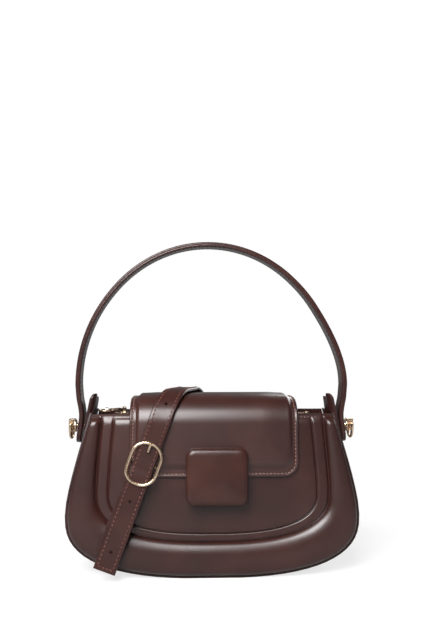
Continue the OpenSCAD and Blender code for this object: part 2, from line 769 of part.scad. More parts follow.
// A half turn between two runs whose faces lie a pitch apart
module fold(level, at, side, pitch) {
    translate([at, level + (strap_t + pitch) / 2]) intersection() {
        difference() { circle((pitch + strap_t) / 2); circle((pitch - strap_t) / 2); }
        translate([side > 0 ? 0 : -20, -10]) square(20);
    }
}
fold_low = -first_run;
fold_high = fold_low + run_len;
last_level = (run_count - 1) * fold_pitch;
loose_pitch = strap_t + 6.5;
end_level = last_level + loose_pitch;
end_t = fold_high - last_run;
bar_d = 2.4;
loop_r = bar_d / 2 + 0.1;
loop_level = end_level + strap_t / 2 + 1.2;
module rear_profile() {
    run(0, fold_low, 6);
    for (k = [1:run_count - 1]) run(k * fold_pitch, fold_low, fold_high);
    for (k = [0:2:run_count - 2]) fold(k * fold_pitch, fold_low, -1, fold_pitch);
    for (k = [1:2:run_count - 2]) fold(k * fold_pitch, fold_high, 1, fold_pitch);
    fold(last_level, fold_high, 1, loose_pitch);
    run(end_level, end_t, fold_high);
    translate([end_t - loop_r - 0.6, loop_level]) difference() {
        circle(loop_r + 1.5);
        circle(loop_r);
    }
}
module strap_rear() {
    color(leather_brown) difference() {
        at_rear(strap_level) rotate([90, 0, 90]) translate([0, 0, -strap_w / 2])
            linear_extrude(strap_w) rear_profile();
        translate([-big / 2, 0, hinge_z - gap / 2]) cube([big, big, 40]);
    }
}
tie_t = 1.2;
tie_w = 9;
tie_at = fold_low + run_len * 0.45;
module bundle_tie() {
    high = last_level + strap_t;
    color(dark_brown) at_rear(strap_level + fold_pitch) translate([0, tie_at, 0])
        rotate([90, 0, 0]) linear_extrude(tie_w) difference() {
            translate([-strap_w / 2 - tie_t - 0.1, -tie_room]) square(
                [strap_w + 2 * tie_t + 0.2, high - fold_pitch + 2 * tie_room]);
            translate([-strap_w / 2 - 0.1, -0.1]) square([strap_w + 0.2, high - fold_pitch + 0.2]);
        }
}
tie_room = 0.7;

// A round rod between two points, run on a little at both ends so that rods join
module rod(p, q, d, past = 0.3) {
    v = q - p;
    translate(p) rotate([0, acos(v[2] / norm(v)), atan2(v[1], v[0])])
        translate([0, 0, -past]) cylinder(d = d, h = norm(v) + 2 * past, $fn = wire_fn);
}

// Buckle: a wire frame over the strap, posts down to the bar under it, and the prong
frame_level = strap_level + strap_t + 0.15 + buckle_wire / 2;
frame_x = (buckle_w - buckle_wire) / 2;
frame_y = (buckle_len - buckle_wire) / 2;
frame_r = 10.8;
pin_d = 1.6;
knuckle_d = 2.4;
bar_level = pad_top + 0.1 + knuckle_d / 2;
module wire_frame(x, y, r, d) {
    for (s = [-1, 1]) {
        translate([s * x, 0, 0]) rotate([90, 0, 0])
            cylinder(d = d, h = 2 * (y - r), center = true, $fn = wire_fn);
        translate([0, s * y, 0]) rotate([0, 90, 0])
            cylinder(d = d, h = 2 * (x - r), center = true, $fn = wire_fn);
    }
    for (k = [0:3]) rotate([0, 0, 90 * k])
        translate([(k % 2 == 0 ? x : y) - r, (k % 2 == 0 ? y : x) - r, 0])
            rotate_extrude(angle = 90) translate([r, 0]) circle(d = d, $fn = wire_fn);
}
module buckle_frame() {
    color(pale_gold) {
        at_buckle(frame_level) wire_frame(frame_x, frame_y, frame_r, buckle_wire);
        at_buckle(bar_level) {
            rotate([0, 90, 0]) cylinder(d = pin_d, h = 2 * frame_x, center = true);
            for (s = [-1, 1]) translate([s * frame_x, 0, 0])
                cylinder(d = pin_d, h = frame_level - bar_level);
        }
    }
}
prong_d = 1.6;
// The prong's side view: along the strap, and level over the flap
module prong_bar(p, q) {
    v = q - p;
    translate(p) rotate(atan2(v[1], v[0])) translate([-0.2, -prong_d / 2])
        square([norm(v) + 0.4, prong_d]);
}
module buckle_prong() {
    hump = frame_level + buckle_wire / 2 + prong_d / 2;
    color(pale_gold) at_buckle(0) difference() {
        rotate([90, 0, 90]) translate([0, 0, -prong_d / 2]) linear_extrude(prong_d) {
            translate([0, bar_level]) circle(d = knuckle_d);
            prong_bar([0.6, bar_level], [prong_t - 0.2, bar_level]);
            prong_bar([prong_t - 0.3, bar_level], [prong_t + 0.6, hump - 2]);
            prong_bar([prong_t + 0.6, hump - 2], [frame_y + 1.8, hump + 0.9]);
        }
        translate([0, 0, bar_level]) rotate([0, 90, 0])
            cylinder(d = pin_d + 2 * pin_fit, h = 4, center = true);
    }
}
// Short tab behind the strap: its upper end meets the bar, its tail folds up again
tab_w = 17;
tab_level = strap_level - gap - tab_t;
tab_turn = -3;
tab_low = -tail_len + 12;
tab_back = -53;
module buckle_tab() {
    color(leather_brown) at_buckle(tab_level) difference() {
        translate([-tab_w / 2, upper_from, 0]) cube([tab_w, -upper_from - pin_d / 2 - 0.5, tab_t]);
        translate([-1.6, -4, -1]) cube([3.2, 8, 4]);
    }
}
module tab_tail() {
    back_level = tab_level - gap - tab_t;
    color(leather_brown) at_buckle(0) rotate([0, 0, tab_turn]) rotate([90, 0, 90])
        translate([0, 0, -tab_w / 2]) linear_extrude(tab_w) {
            translate([tab_low, tab_level]) square([tail_top - 0.5 - tab_low, tab_t]);
            translate([tab_low, back_level]) square([tab_back - tab_low, tab_t]);
            translate([tab_low, tab_level - gap / 2]) intersection() {
                difference() { circle(tab_t + gap / 2); circle(gap / 2); }
                translate([-10, -10]) square([10, 20]);
            }
        }
}
// Flat snap clasp on the tab's end, tucked between the strap and the front
clasp_t = 3.2;
clasp_w = 15;
module tab_clasp() {
    color(pale_gold) at_buckle(0) rotate([0, 0, tab_turn])
        translate([0, tab_back + 0.3, tab_level - gap - clasp_t]) linear_extrude(clasp_t) {
            translate([0, 3.5]) difference() {
                rounded(clasp_w, 7, 2);
                rounded(clasp_w - 4.4, 2.8, 1);
            }
            translate([-2.5, 6.5]) square([5, 6]);
            translate([0, 20]) difference() {
                circle(8);
                circle(5);
                translate([3, -3]) square([8, 4]);
            }
        }
}

// Swivel clasp on the strap's rear end. Y runs down from the strap's loop.
module at_clasp() {
    at_rear(strap_level) translate([0, end_t - loop_r - 0.6, loop_level])
        rotate([0, 0, 180]) children();
}
eye_half = strap_w / 2 + 2;
eye_drop = 8;
boss_l = 5;
swivel_d = 3;
module clasp_eye() {
    arm = eye_half + bar_d / 2;
    color(pale_gold) at_clasp() {
        rotate([0, 90, 0]) cylinder(d = bar_d, h = 2 * eye_half, center = true);
        translate([0, 0, -1]) linear_extrude(2) difference() {
            polygon([[-arm, -0.8], [-arm, 4], [-3, eye_drop + 2], [3, eye_drop + 2], [arm, 4],
                [arm, -0.8]]);
            polygon([[-arm + 2.4, -2], [-arm + 2.4, 3], [-3, eye_drop - 2.4], [3, eye_drop - 2.4],
                [arm - 2.4, 3], [arm - 2.4, -2]]);
            translate([-2.6, eye_drop - 2.5]) square([5.2, 8]);
        }
        translate([0, eye_drop, 0]) rotate([-90, 0, 0]) difference() {
            cylinder(d = 7, h = boss_l);
            translate([0, 0, -1]) cylinder(d = swivel_d + 2 * pin_fit, h = boss_l + 2);
        }
    }
}
hook_top = eye_drop + boss_l + gap;
hook_r = 6.3;
hook_wire = 3;
hook_mid = hook_top + 3 + hook_r + hook_wire / 2;
gate_a = 40;
module clasp_hook() {
    color(pale_gold) at_clasp() {
        translate([0, eye_drop - 1.5 - gap, 0]) rotate([-90, 0, 0]) cylinder(d = 4.6, h = 1.5);
        translate([0, eye_drop - 1.6, 0]) rotate([-90, 0, 0])
            cylinder(d = swivel_d, h = boss_l + 3);
        translate([0, hook_top, 0]) rotate([-90, 0, 0]) cylinder(d = 7, h = 3.4);
        difference() {
            union() {
                translate([0, hook_mid, 0]) rotate([0, 0, gate_a]) rotate_extrude(angle = 270)
                    translate([hook_r, 0]) circle(d = hook_wire, $fn = wire_fn);
                translate(concat(gate_pin, [-1.9])) cylinder(d = 3.4, h = 3.8);
            }
            translate(concat(gate_pin, [-0.8 - gap / 2])) cylinder(r = 1.4 + gap, h = 1.6 + gap);
        }
        translate(concat(gate_pin, [-1.8])) cylinder(d = 1.2, h = 3.6);
    }
}
gate_pin = [hook_r * cos(gate_a - 90 + 6), hook_mid + hook_r * sin(gate_a - 90 + 6)];
gate_end = [hook_r * cos(gate_a - 14), hook_mid + hook_r * sin(gate_a - 14)];
module clasp_gate() {
    color(pale_gold) at_clasp() difference() {
        union() {
            translate(concat(gate_pin, [-0.8])) cylinder(d = 2.8, h = 1.6);
            rod(concat(gate_pin, [0]), concat(gate_end, [0]), 1.5);
        }
        translate(concat(gate_pin, [-2])) cylinder(d = 1.2 + 2 * pin_fit, h = 4);
    }
}

front_panel();
back_panel();
gusset();
front_board();
back_board();
base_board();
lining_front();
lining_back();
lining_side();
inner_pocket();
facing_front();
facing_back();
zip_tape_front();
zip_tape_back();
zip_teeth();
zip_stops();
zip_slider();
zip_puller();
zip_ring();
flap_root();
flap_leather();
flap_foam();
flap_lining();
lock_cover();
lock_core();
snap_male();
snap_female();
snap_washer();
handle_strap();
stud_left();
stud_right();
stud_nuts();
d_ring_left();
d_ring_right();
strap_upper();
strap_tail();
strap_rear();
buckle_frame();
buckle_prong();
buckle_tab();
tab_tail();
tab_clasp();
clasp_eye();
clasp_hook();
clasp_gate();
bundle_tie();
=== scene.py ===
from math import atan, cos, pi, radians, sin, tan

import bpy
import numpy as np
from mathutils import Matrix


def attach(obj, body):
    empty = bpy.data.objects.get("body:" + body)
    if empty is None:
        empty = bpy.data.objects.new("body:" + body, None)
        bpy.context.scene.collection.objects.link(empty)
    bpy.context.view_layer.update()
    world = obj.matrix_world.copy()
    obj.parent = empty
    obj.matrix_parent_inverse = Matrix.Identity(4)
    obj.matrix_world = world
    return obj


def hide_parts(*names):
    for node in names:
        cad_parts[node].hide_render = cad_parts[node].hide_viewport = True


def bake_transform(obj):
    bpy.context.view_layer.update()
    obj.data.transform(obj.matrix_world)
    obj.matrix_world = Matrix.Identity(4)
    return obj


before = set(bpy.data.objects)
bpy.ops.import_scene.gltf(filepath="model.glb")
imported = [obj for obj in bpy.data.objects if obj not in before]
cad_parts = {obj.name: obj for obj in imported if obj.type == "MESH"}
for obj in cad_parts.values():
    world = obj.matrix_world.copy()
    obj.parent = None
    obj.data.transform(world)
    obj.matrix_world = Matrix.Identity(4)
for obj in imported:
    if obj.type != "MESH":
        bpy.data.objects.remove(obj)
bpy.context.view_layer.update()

# Baguette bag in dark brown leather. Sizes are in millimetres until a mesh is written.
scene = bpy.context.scene
mm = 1000  # millimetres in a metre

# Camera, fitted to the photograph
cameraSet = {"distance": 600, "height": 195, "azimuth": -2.0, "sensor": 36, "lens": 38.25,
             "shift": 0.0487, "sideShift": -0.0022}


def makeCamera(c):
    turn = radians(c["azimuth"])
    place = (c["distance"] * sin(turn) / mm, -c["distance"] * cos(turn) / mm, c["height"] / mm)
    bpy.ops.object.camera_add(location=place, rotation=(pi / 2, 0, turn))
    camera = bpy.context.object
    camera.name = "studioCamera"
    camera.data.sensor_fit = "VERTICAL"
    camera.data.sensor_height = c["sensor"]
    camera.data.lens = c["lens"]
    camera.data.shift_y = c["shift"]
    camera.data.shift_x = c["sideShift"]
    camera.data.clip_start = 0.01
    scene.camera = camera


makeCamera(cameraSet)
print("camera ready")


def linear(hexColour):
    parts = [int(hexColour[i:i + 2], 16) / 255 for i in (1, 3, 5)]
    return tuple(p / 12.92 if p < 0.04045 else ((p + 0.055) / 1.055) ** 2.4 for p in parts) + (1,)


def addNode(tree, kind, values=None, links=None, **settings):
    # one node with its settings, fixed values and links
    node = tree.nodes.new(kind)
    for key, value in settings.items():
        setattr(node, key, value)
    for key, value in (values or {}).items():
        node.inputs[key].default_value = value
    for key, source in (links or {}).items():
        tree.links.new(source, node.inputs[key])
    return node


def newMaterial(name, base, rough, metal=0.0, coat=0.0, coatRough=0.18, ior=1.5, specular=0.38):
    material = bpy.data.materials.new(name)
    material.use_nodes = True
    tree = material.node_tree
    shader = tree.nodes["Principled BSDF"]
    shader.inputs["Base Color"].default_value = linear(base)
    shader.inputs["Roughness"].default_value = rough
    shader.inputs["Metallic"].default_value = metal
    shader.inputs["Coat Weight"].default_value = coat
    shader.inputs["Coat Roughness"].default_value = coatRough
    shader.inputs["IOR"].default_value = ior
    shader.inputs["Specular IOR Level"].default_value = specular
    return material, tree, shader


# Leather: calf hide with a corrected grain under a semi-gloss resin finish, so it has soft broad
# highlights and a fine pebble. The real grain is 0.3 mm; it is drawn at 0.8 mm to show at all.
# The dye clouds over 45 mm, and the creases of the hide are about 6 mm apart.
leatherSet = {"grain": 0.8, "cloud": 45, "crease": 6.25, "bump": 0.17}


def leather(name, base, deep, pale, rough=0.32, coat=0.2, grain=1.0, coatRough=0.22):
    material, tree, shader = newMaterial(name, base, rough, coat=coat, coatRough=coatRough)
    place = addNode(tree, "ShaderNodeTexCoord").outputs["Object"]
    cloud = addNode(tree, "ShaderNodeTexNoise", {"Scale": mm / leatherSet["cloud"], "Detail": 3},
                    {"Vector": place})
    tone = addNode(tree, "ShaderNodeValToRGB", links={"Fac": cloud.outputs["Fac"]})
    tone.color_ramp.elements[0].position = 0.32
    tone.color_ramp.elements[0].color = linear(deep)
    tone.color_ramp.elements[1].position = 0.68
    tone.color_ramp.elements[1].color = linear(pale)
    middle = tone.color_ramp.elements.new(0.5)
    middle.color = linear(base)
    pebble = addNode(tree, "ShaderNodeTexVoronoi", {"Scale": mm / leatherSet["grain"],
                     "Smoothness": 0.6}, {"Vector": place}, feature="SMOOTH_F1")
    crease = addNode(tree, "ShaderNodeTexNoise", {"Scale": mm / leatherSet["crease"], "Detail": 4,
                     "Roughness": 0.6}, {"Vector": place})
    height = addNode(tree, "ShaderNodeMath", {1: 0.45}, {0: pebble.outputs["Distance"],
                     2: crease.outputs["Fac"]}, operation="MULTIPLY_ADD")
    bump = addNode(tree, "ShaderNodeBump", {"Strength": leatherSet["bump"] * grain,
                   "Distance": 0.0004}, {"Height": height.outputs[0]})
    shine = addNode(tree, "ShaderNodeMapRange", {"To Min": rough - 0.05, "To Max": rough + 0.07},
                    {"Value": crease.outputs["Fac"]})
    tree.links.new(tone.outputs["Color"], shader.inputs["Base Color"])
    tree.links.new(shine.outputs["Result"], shader.inputs["Roughness"])
    tree.links.new(bump.outputs["Normal"], shader.inputs["Normal"])
    return material


# Plating: zinc castings and steel wire, polished and plated in pale gold. The haze of the polish,
# about 4 mm across, breaks up the reflections a little.
def plating(name, base, rough=0.16):
    material, tree, shader = newMaterial(name, base, rough, metal=1.0)
    place = addNode(tree, "ShaderNodeTexCoord").outputs["Object"]
    haze = addNode(tree, "ShaderNodeTexNoise", {"Scale": 240, "Detail": 3}, {"Vector": place})
    shine = addNode(tree, "ShaderNodeMapRange", {"To Min": rough - 0.04, "To Max": rough + 0.08},
                    {"Value": haze.outputs["Fac"]})
    bump = addNode(tree, "ShaderNodeBump", {"Strength": 0.03, "Distance": 0.0002},
                   {"Height": haze.outputs["Fac"]})
    tree.links.new(shine.outputs["Result"], shader.inputs["Roughness"])
    tree.links.new(bump.outputs["Normal"], shader.inputs["Normal"])
    return material


# Thread, tape, board and foam: bands of two tones at the real pitch of the twist, twill or cells
def woven(name, base, other, pitch, rough=0.85, strength=0.4):
    material, tree, shader = newMaterial(name, base, rough, specular=0.3)
    place = addNode(tree, "ShaderNodeTexCoord").outputs["Object"]
    rows = addNode(tree, "ShaderNodeTexWave", {"Scale": mm / pitch / 6.2832, "Distortion": 0.4,
                   "Detail": 1}, {"Vector": place}, wave_type="BANDS",
                   bands_direction="DIAGONAL")
    tone = addNode(tree, "ShaderNodeValToRGB", links={"Fac": rows.outputs["Fac"]})
    tone.color_ramp.elements[0].color = linear(base)
    tone.color_ramp.elements[1].color = linear(other)
    bump = addNode(tree, "ShaderNodeBump", {"Strength": strength, "Distance": 0.0003},
                   {"Height": rows.outputs["Fac"]})
    tree.links.new(tone.outputs["Color"], shader.inputs["Base Color"])
    tree.links.new(bump.outputs["Normal"], shader.inputs["Normal"])
    return material


# The moulded and padded panels are pressed hot, which leaves their finish the glossiest
bodyLeather = leather("calfLeatherMoulded", "#371813", "#2f140f", "#3f1f19", coat=0.85,
                      coatRough=0.3)
flapLeather = leather("calfLeatherPadded", "#3a1913", "#31140f", "#43211a", rough=0.37, coat=1.0,
                      coatRough=0.32)
# Strap and side leather are rolled, not pressed, and so a little duller
strapLeather = leather("bridleLeatherStrap", "#3a1b16", "#311713", "#43231d", rough=0.34, coat=0.45)
sideLeather = leather("calfLeatherSide", "#341a17", "#2c1513", "#3c211e", rough=0.42)
# The cut edges are sealed with a darker edge dye, which dries to a satin skin
edgePaint = leather("edgeDyeSatin", "#251312", "#1e0f0e", "#2d1918", rough=0.3, grain=0.3)
# A needle hole holds only shade; this dark colour is painted shade, laid on a flat disc beside each
# stitch
pitShade = leather("needleHoleShade", "#160b0a", "#120908", "#1b0e0d", rough=0.8, coat=0)
# Microfibre lining with a short matt nap
liningSuede = leather("microfibreNap", "#4f3c36", "#463430", "#58453e", rough=0.9, coat=0.0,
                      grain=2)
# Waxed polyester; the twist is finer than a pixel, so it is only a faint ribbing
threadDark = woven("waxedThreadDark", "#68403a", "#7a4f46", 1.2, rough=0.6)
threadPale = woven("waxedThreadPale", "#8a645a", "#a07b70", 1.2, rough=0.6)
paleGold = plating("platedPaleGold", "#f2d6b8", rough=0.2)
# Polyester tape with a 1 mm twill, pressed wood fibre, and open-celled foam
zipCloth = woven("twillZipTape", "#3a2a28", "#4a3836", 1.0)
boardFibre = woven("pressedFibreBoard", "#a58a68", "#b4997a", 2.0, strength=0.1)
foamCell = woven("latexFoam", "#d8d0bc", "#e2dbc9", 1.5)
print("materials ready")

# The bag's main sizes, as in the part's source
bag = {"bodyW": 250, "topW": 210, "bodyH": 138, "bellyZ": 52, "baseDepth": 72, "rimDepth": 48,
       "leather": 1.8, "power": 2.6, "panelTop": 137.5, "sideIn": 2.1}
lean = atan((bag["baseDepth"] - bag["rimDepth"]) / 2 / bag["bodyH"])
leanSin, leanCos = sin(lean), cos(lean)


def halfDepth(z):
    return bag["rimDepth"] / 2 + (bag["bodyH"] - z) * tan(lean)


def onFace(x, h, level, turn=1):
    # a point of a leaning face from its width, its height up the face and its level over it
    x, h, level = np.broadcast_arrays(np.asarray(x, float), h, level)
    y = -halfDepth(0) + h * leanSin - level * leanCos
    return np.stack([x * turn, y * turn, h * leanCos + level * leanSin], -1)


def clearAll():
    if bpy.context.object and bpy.context.object.mode != "OBJECT":
        bpy.ops.object.mode_set(mode="OBJECT")
    bpy.ops.object.select_all(action="DESELECT")


def pick(*pieces):
    clearAll()
    for piece in pieces:
        piece.select_set(True)
    bpy.context.view_layer.objects.active = pieces[0]


def mend(piece, doubles=0.01, fill=False, angle=35, flip=True):
    # merges doubles, closes open ends, turns the faces outwards and shades smooth by angle
    pick(piece)
    bpy.ops.object.mode_set(mode="EDIT")
    bpy.ops.mesh.select_all(action="SELECT")
    bpy.ops.mesh.remove_doubles(threshold=doubles / mm)
    if fill:
        bpy.ops.mesh.fill_holes(sides=0)
    if flip:
        bpy.ops.mesh.select_all(action="SELECT")
        bpy.ops.mesh.normals_make_consistent(inside=False)
    bpy.ops.object.mode_set(mode="OBJECT")
    bpy.ops.object.shade_smooth_by_angle(angle=radians(angle))
    return piece


def readPoints(piece):
    flat = np.empty(len(piece.data.vertices) * 3)
    piece.data.vertices.foreach_get("co", flat)
    return flat.reshape(-1, 3)


def writePoints(piece, spots):
    # puts a mesh's points at places given in millimetres
    piece.data.vertices.foreach_set("co", (np.asarray(spots) / mm).ravel())
    piece.data.update()


def layGrid(name, across, along, law):
    # a grid whose points are moved to law(u, v), with u and v from 0 to 1
    clearAll()
    bpy.ops.mesh.primitive_grid_add(x_subdivisions=across, y_subdivisions=along, size=1)
    piece = bpy.context.object
    piece.name = piece.data.name = name
    flat = readPoints(piece)
    writePoints(piece, law(flat[:, 0] + 0.5, flat[:, 1] + 0.5))
    return piece


def finishPiece(piece, material, body, *nodes, slot=None, blend=None):
    # dresses a piece, fixes it to its body or, for a piece over a joint, only bakes its place into
    # its points, and hides the nodes it stands for
    if material:
        piece.data.materials.clear()
        piece.data.materials.append(material)
    if blend:
        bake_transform(piece)
    else:
        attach(piece, body)
    if nodes:
        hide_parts(*nodes)
    return piece


def applyModifier(piece, kind, **settings):
    pick(piece)
    bpy.ops.object.modifier_add(type=kind)
    modifier = piece.modifiers[-1]
    for key, value in settings.items():
        setattr(modifier, key, value)
    bpy.ops.object.modifier_apply(modifier=modifier.name)


def smoothCopy(node, name, material, body, angle=32, bevel=0.0, slot="pale_gold"):
    # a CAD solid's own shape, merged, with eased edges and smooth shading
    pick(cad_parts[node])
    bpy.ops.object.duplicate()
    piece = bpy.context.object
    piece.name = piece.data.name = name
    for key in list(piece.keys()):
        del piece[key]
    mend(piece, 0.02, flip=False, angle=angle)
    if bevel:
        pick(piece)
        bpy.ops.object.mode_set(mode="EDIT")
        bpy.ops.mesh.select_all(action="SELECT")
        bpy.ops.mesh.dissolve_limited(angle_limit=radians(1))
        bpy.ops.object.mode_set(mode="OBJECT")
        applyModifier(piece, "BEVEL", width=bevel / mm, segments=2, limit_method="ANGLE",
                      angle_limit=radians(40), use_clamp_overlap=True)
        pick(piece)
        bpy.ops.object.shade_smooth_by_angle(angle=radians(angle))
    return finishPiece(piece, material, body, node, slot=slot)


def smooth(t):
    t = np.clip(t, 0, 1)
    return t * t * (3 - 2 * t)


flatPoints = 7  # points along each flat face of a strap's section


def ribbonLoop(width, thick, edge, count):
    # section of a strap: flat faces with rounded edges, as points across and through
    turns = np.linspace(-pi / 2, pi / 2, count)
    right = np.stack([width / 2 - edge + edge * np.cos(turns), thick / 2 * np.sin(turns)], -1)
    flat = np.linspace(1, -1, flatPoints + 2)[1:-1] * (width / 2 - edge)
    top = np.stack([flat, np.full(flatPoints, thick / 2)], -1)
    return np.concatenate([right, top, -right, -top, right[:1]])


def sweep(name, path, side, up, section, scale=None):
    # carries a closed section along a path; side and up are unit directions at each point
    path, side, up = (np.asarray(a, float) for a in (path, side, up))
    count = len(path) - 1
    ring = len(section) - 1
    widths = np.ones(len(path)) if scale is None else np.asarray(scale)

    def law(u, v):
        i = np.rint(v * count).astype(int)
        j = np.rint(u * ring).astype(int)
        return (path[i] + side[i] * (section[j, 0] * widths[i])[:, None]
                + up[i] * section[j, 1][:, None])
    return mend(layGrid(name, ring, count, law), fill=True, angle=50)


# Stitches: each is a short spindle of thread lying along its seam, with a flat disc of painted
# shade for its needle hole
stitchSet = {"sides": 5, "slant": 0.12, "shadeDisc": 0.34, "shadeDiscSides": 6,
             "profile": ((-0.5, 0.25), (-0.3, 0.95), (0.0, 1.0), (0.3, 0.95), (0.5, 0.25))}


def oneStitch(pitch, length, thick):
    # points of a spindle and of a flat disc beside it, painted as the shade in the needle's hole,
    # with their faces
    c = stitchSet
    sides, shadeDiscSides, rings = c["sides"], c["shadeDiscSides"], len(c["profile"])
    points = []
    for along, wide in c["profile"]:
        for k in range(sides):
            turn = 2 * pi * k / sides
            points.append((along * length, cos(turn) * wide * thick / 2,
                           sin(turn) * wide * thick / 2))
    # the flat disc of painted hole shade, lying at the surface
    for k in range(shadeDiscSides):
        turn = 2 * pi * k / shadeDiscSides
        points.append((-pitch / 2 + c["shadeDisc"] * cos(turn), c["shadeDisc"] * sin(turn), -0.02))
    faces = [(a * sides + k, a * sides + (k + 1) % sides, (a + 1) * sides + (k + 1) % sides,
              (a + 1) * sides + k) for a in range(rings - 1) for k in range(sides)]
    faces += [tuple(range(sides))[::-1], tuple((rings - 1) * sides + k for k in range(sides)),
              tuple(range(rings * sides, rings * sides + shadeDiscSides))]
    return np.array(points), faces


def between(at, run, values):
    return np.array([np.interp(at, run, values[:, c]) for c in range(3)])


def stitchRow(name, runs, pitch, length, thick, material, body, blend=None, slot="brown_leather"):
    # runs: list of (points, outward directions); one spindle is laid at each pitch. A piece's
    # "stitch" entry holds the pitch, length and thickness
    template, faces = oneStitch(pitch, length, thick)
    spots, cells = [], []
    for points, outs in runs:
        points, outs = np.asarray(points, float), np.asarray(outs, float)
        steps = np.linalg.norm(np.diff(points, axis=0), axis=1)
        run = np.concatenate([[0], np.cumsum(steps)])
        number = max(1, int(round(run[-1] / pitch)))
        for k in range(number):
            at = (k + 0.5) * run[-1] / number
            here, out = between(at, run, points), between(at, run, outs)
            tangent = (between(min(at + 0.5, run[-1]), run, points)
                       - between(max(at - 0.5, 0), run, points))
            tangent = tangent / max(np.linalg.norm(tangent), 1e-6)
            out = out - tangent * out.dot(tangent)
            out /= max(np.linalg.norm(out), 1e-6)
            across = np.cross(tangent, out)
            skew = tangent * cos(stitchSet["slant"]) + across * sin(stitchSet["slant"])
            across = np.cross(skew, out)
            base = len(spots) * len(template)
            spots.append(here + template[:, :1] * skew + template[:, 1:2] * across
                         + template[:, 2:] * out)
            cells += [tuple(base + i for i in face) for face in faces]
    mesh = bpy.data.meshes.new(name)
    mesh.from_pydata((np.concatenate(spots) / mm).tolist(), [], cells)
    piece = bpy.data.objects.new(name, mesh)
    scene.collection.objects.link(piece)
    piece.data.materials.append(material)
    # the last face of each stitch, the flat disc, takes the painted hole shade
    piece.data.materials.append(pitShade)
    for number, face in enumerate(piece.data.polygons):
        face.material_index = 1 if number % len(faces) == len(faces) - 1 else 0
    pick(piece)
    bpy.ops.object.shade_smooth_by_angle(angle=radians(60))
    return finishPiece(piece, None, body, slot=slot, blend=blend)


# Moulded front: a padded roll round a raised rib and a middle field, with two grooves between
frontSet = {"roll": 6.0, "field": 3.0, "floor": 0.25,
            "innerHalf": 99.6, "innerBelly": 72, "innerBase": 29.8, "innerRim": 94,
            "baseShare": 0.67, "fade": 7.5, "shoulder": 6.0, "seam": 134.2, "seamHalf": 90,
            "stitch": (3.1, 2.2, 0.9),
            "creases": ((0.5, 0.05), (1.0, 0.35), (1.5, 1.15), (2.2, 1.65), (3.2, 1.85),
                        (5.0, 1.95), (7.0, 2.05), (8.6, 2.1), (9.5, 2.0), (10.0, 1.6),
                        (10.4, 1.1), (10.8, 1.0), (11.2, 1.4), (11.7, 2.3), (12.3, 2.75),
                        (13.2, 2.95))}


def halfOutline(half, belly, base, rimHalf, rimAt, count):
    # the right half of an outline from the middle of its base up to the rim, evenly spaced
    a = np.linspace(0, pi / 2, 160)
    p = 2 / bag["power"]
    lowX, lowZ = half * np.sin(a) ** p, belly - (belly - base) * np.cos(a) ** p
    dz = np.linspace(0, bag["panelTop"] - belly, 80)[1:]
    taper = (dz ** 2 / (dz + 30)) / ((rimAt - belly) ** 2 / (rimAt - belly + 30))
    x = np.concatenate([lowX, half - (half - rimHalf) * taper])
    z = np.concatenate([lowZ, belly + dz])
    run = np.concatenate([[0], np.cumsum(np.hypot(np.diff(x), np.diff(z)))])
    at = np.linspace(0, run[-1], count)
    return np.stack([np.interp(at, run, x), np.interp(at, run, z)], -1)


def panelOutline(inset, count):
    line = halfOutline(bag["bodyW"] / 2 - inset, bag["bellyZ"], inset - 0.3,
                       bag["topW"] / 2 - inset, bag["bodyH"], count)
    line[:, 1] = np.maximum(line[:, 1], inset)
    return line


def innerOutline(inset, count):
    # nested outlines of the grooves and the field, closer together along the base
    f = frontSet
    return halfOutline(f["innerHalf"] - inset, f["innerBelly"],
                       f["innerBase"] + inset * f["baseShare"], f["innerRim"] - inset,
                       bag["bodyH"] + 8, count)


def frontRings(count):
    # (outline, level) from the panel's edge to its middle
    f = frontSet
    outer, inner = panelOutline(bag["sideIn"], count), innerOutline(0, count)
    rings = [(outer, -bag["leather"]), (outer, -0.6)]
    for k in np.concatenate([np.linspace(0, 0.14, 9), np.linspace(0.2, 0.8, 8),
                             np.linspace(0.86, 1, 10)]):
        away = abs(2 * k - 1) if k < 0.5 else max(0, (k - 0.42) / 0.58)
        bulge = (1 - min(away, 1) ** (6 if k < 0.5 else 3.4)) ** 0.6
        level = f["floor"] + (f["roll"] - f["floor"]) * bulge * (0.93 + 0.07 * sin(pi * k))
        rings.append((outer * (1 - k) + inner * k, level))
    # the two creases are thin and sharp; the rib between them is a low band that rises inwards
    for inset, level in f["creases"]:
        rings.append((innerOutline(inset, count), level))
    start = f["creases"][-1][0]
    last = innerOutline(start + f["shoulder"], count)
    heart = np.stack([np.zeros(count),
                      np.linspace(last[0, 1] * 0.35 + 55, bag["panelTop"], count)], -1)
    for k in np.linspace(0, 1, 16)[1:]:
        rings.append((last * (1 - k) + heart * k, f["field"] + 0.15 * sin(pi / 2 * k)))
    return rings


def makeFront():
    count = 150
    rings = frontRings(count)
    lines = np.array([line for line, level in rings])
    levels = np.array([level for line, level in rings])

    def law(u, v):
        i = np.rint(v * (len(rings) - 1)).astype(int)
        j = np.rint((2 * u - 1) * (count - 1)).astype(int)
        x = lines[i, abs(j), 0] * np.sign(j)
        h = lines[i, abs(j), 1]
        level = levels[i].copy()
        rise = np.clip((bag["panelTop"] - 3.0 - h) / frontSet["fade"], 0, 1)
        fade = (1 - (1 - rise) ** 2.2) ** 0.7
        return onFace(x, h, np.where(level > 0.2, 0.2 + (level - 0.2) * fade, level))
    piece = layGrid("mouldedFront", 2 * count - 2, len(rings) - 1, law)
    mend(piece, 0.02, angle=50)
    return finishPiece(piece, bodyLeather, "root", "front_panel", slot="brown_leather")


mouldedFront = makeFront()
rimLine = np.linspace(-frontSet["seamHalf"], frontSet["seamHalf"], 120)
stitchRow("rimStitches", [(onFace(rimLine, frontSet["seam"], 0.35),
          np.tile([0, -leanCos, leanSin], (120, 1)))], *frontSet["stitch"], threadPale, "root")
print("front ready")

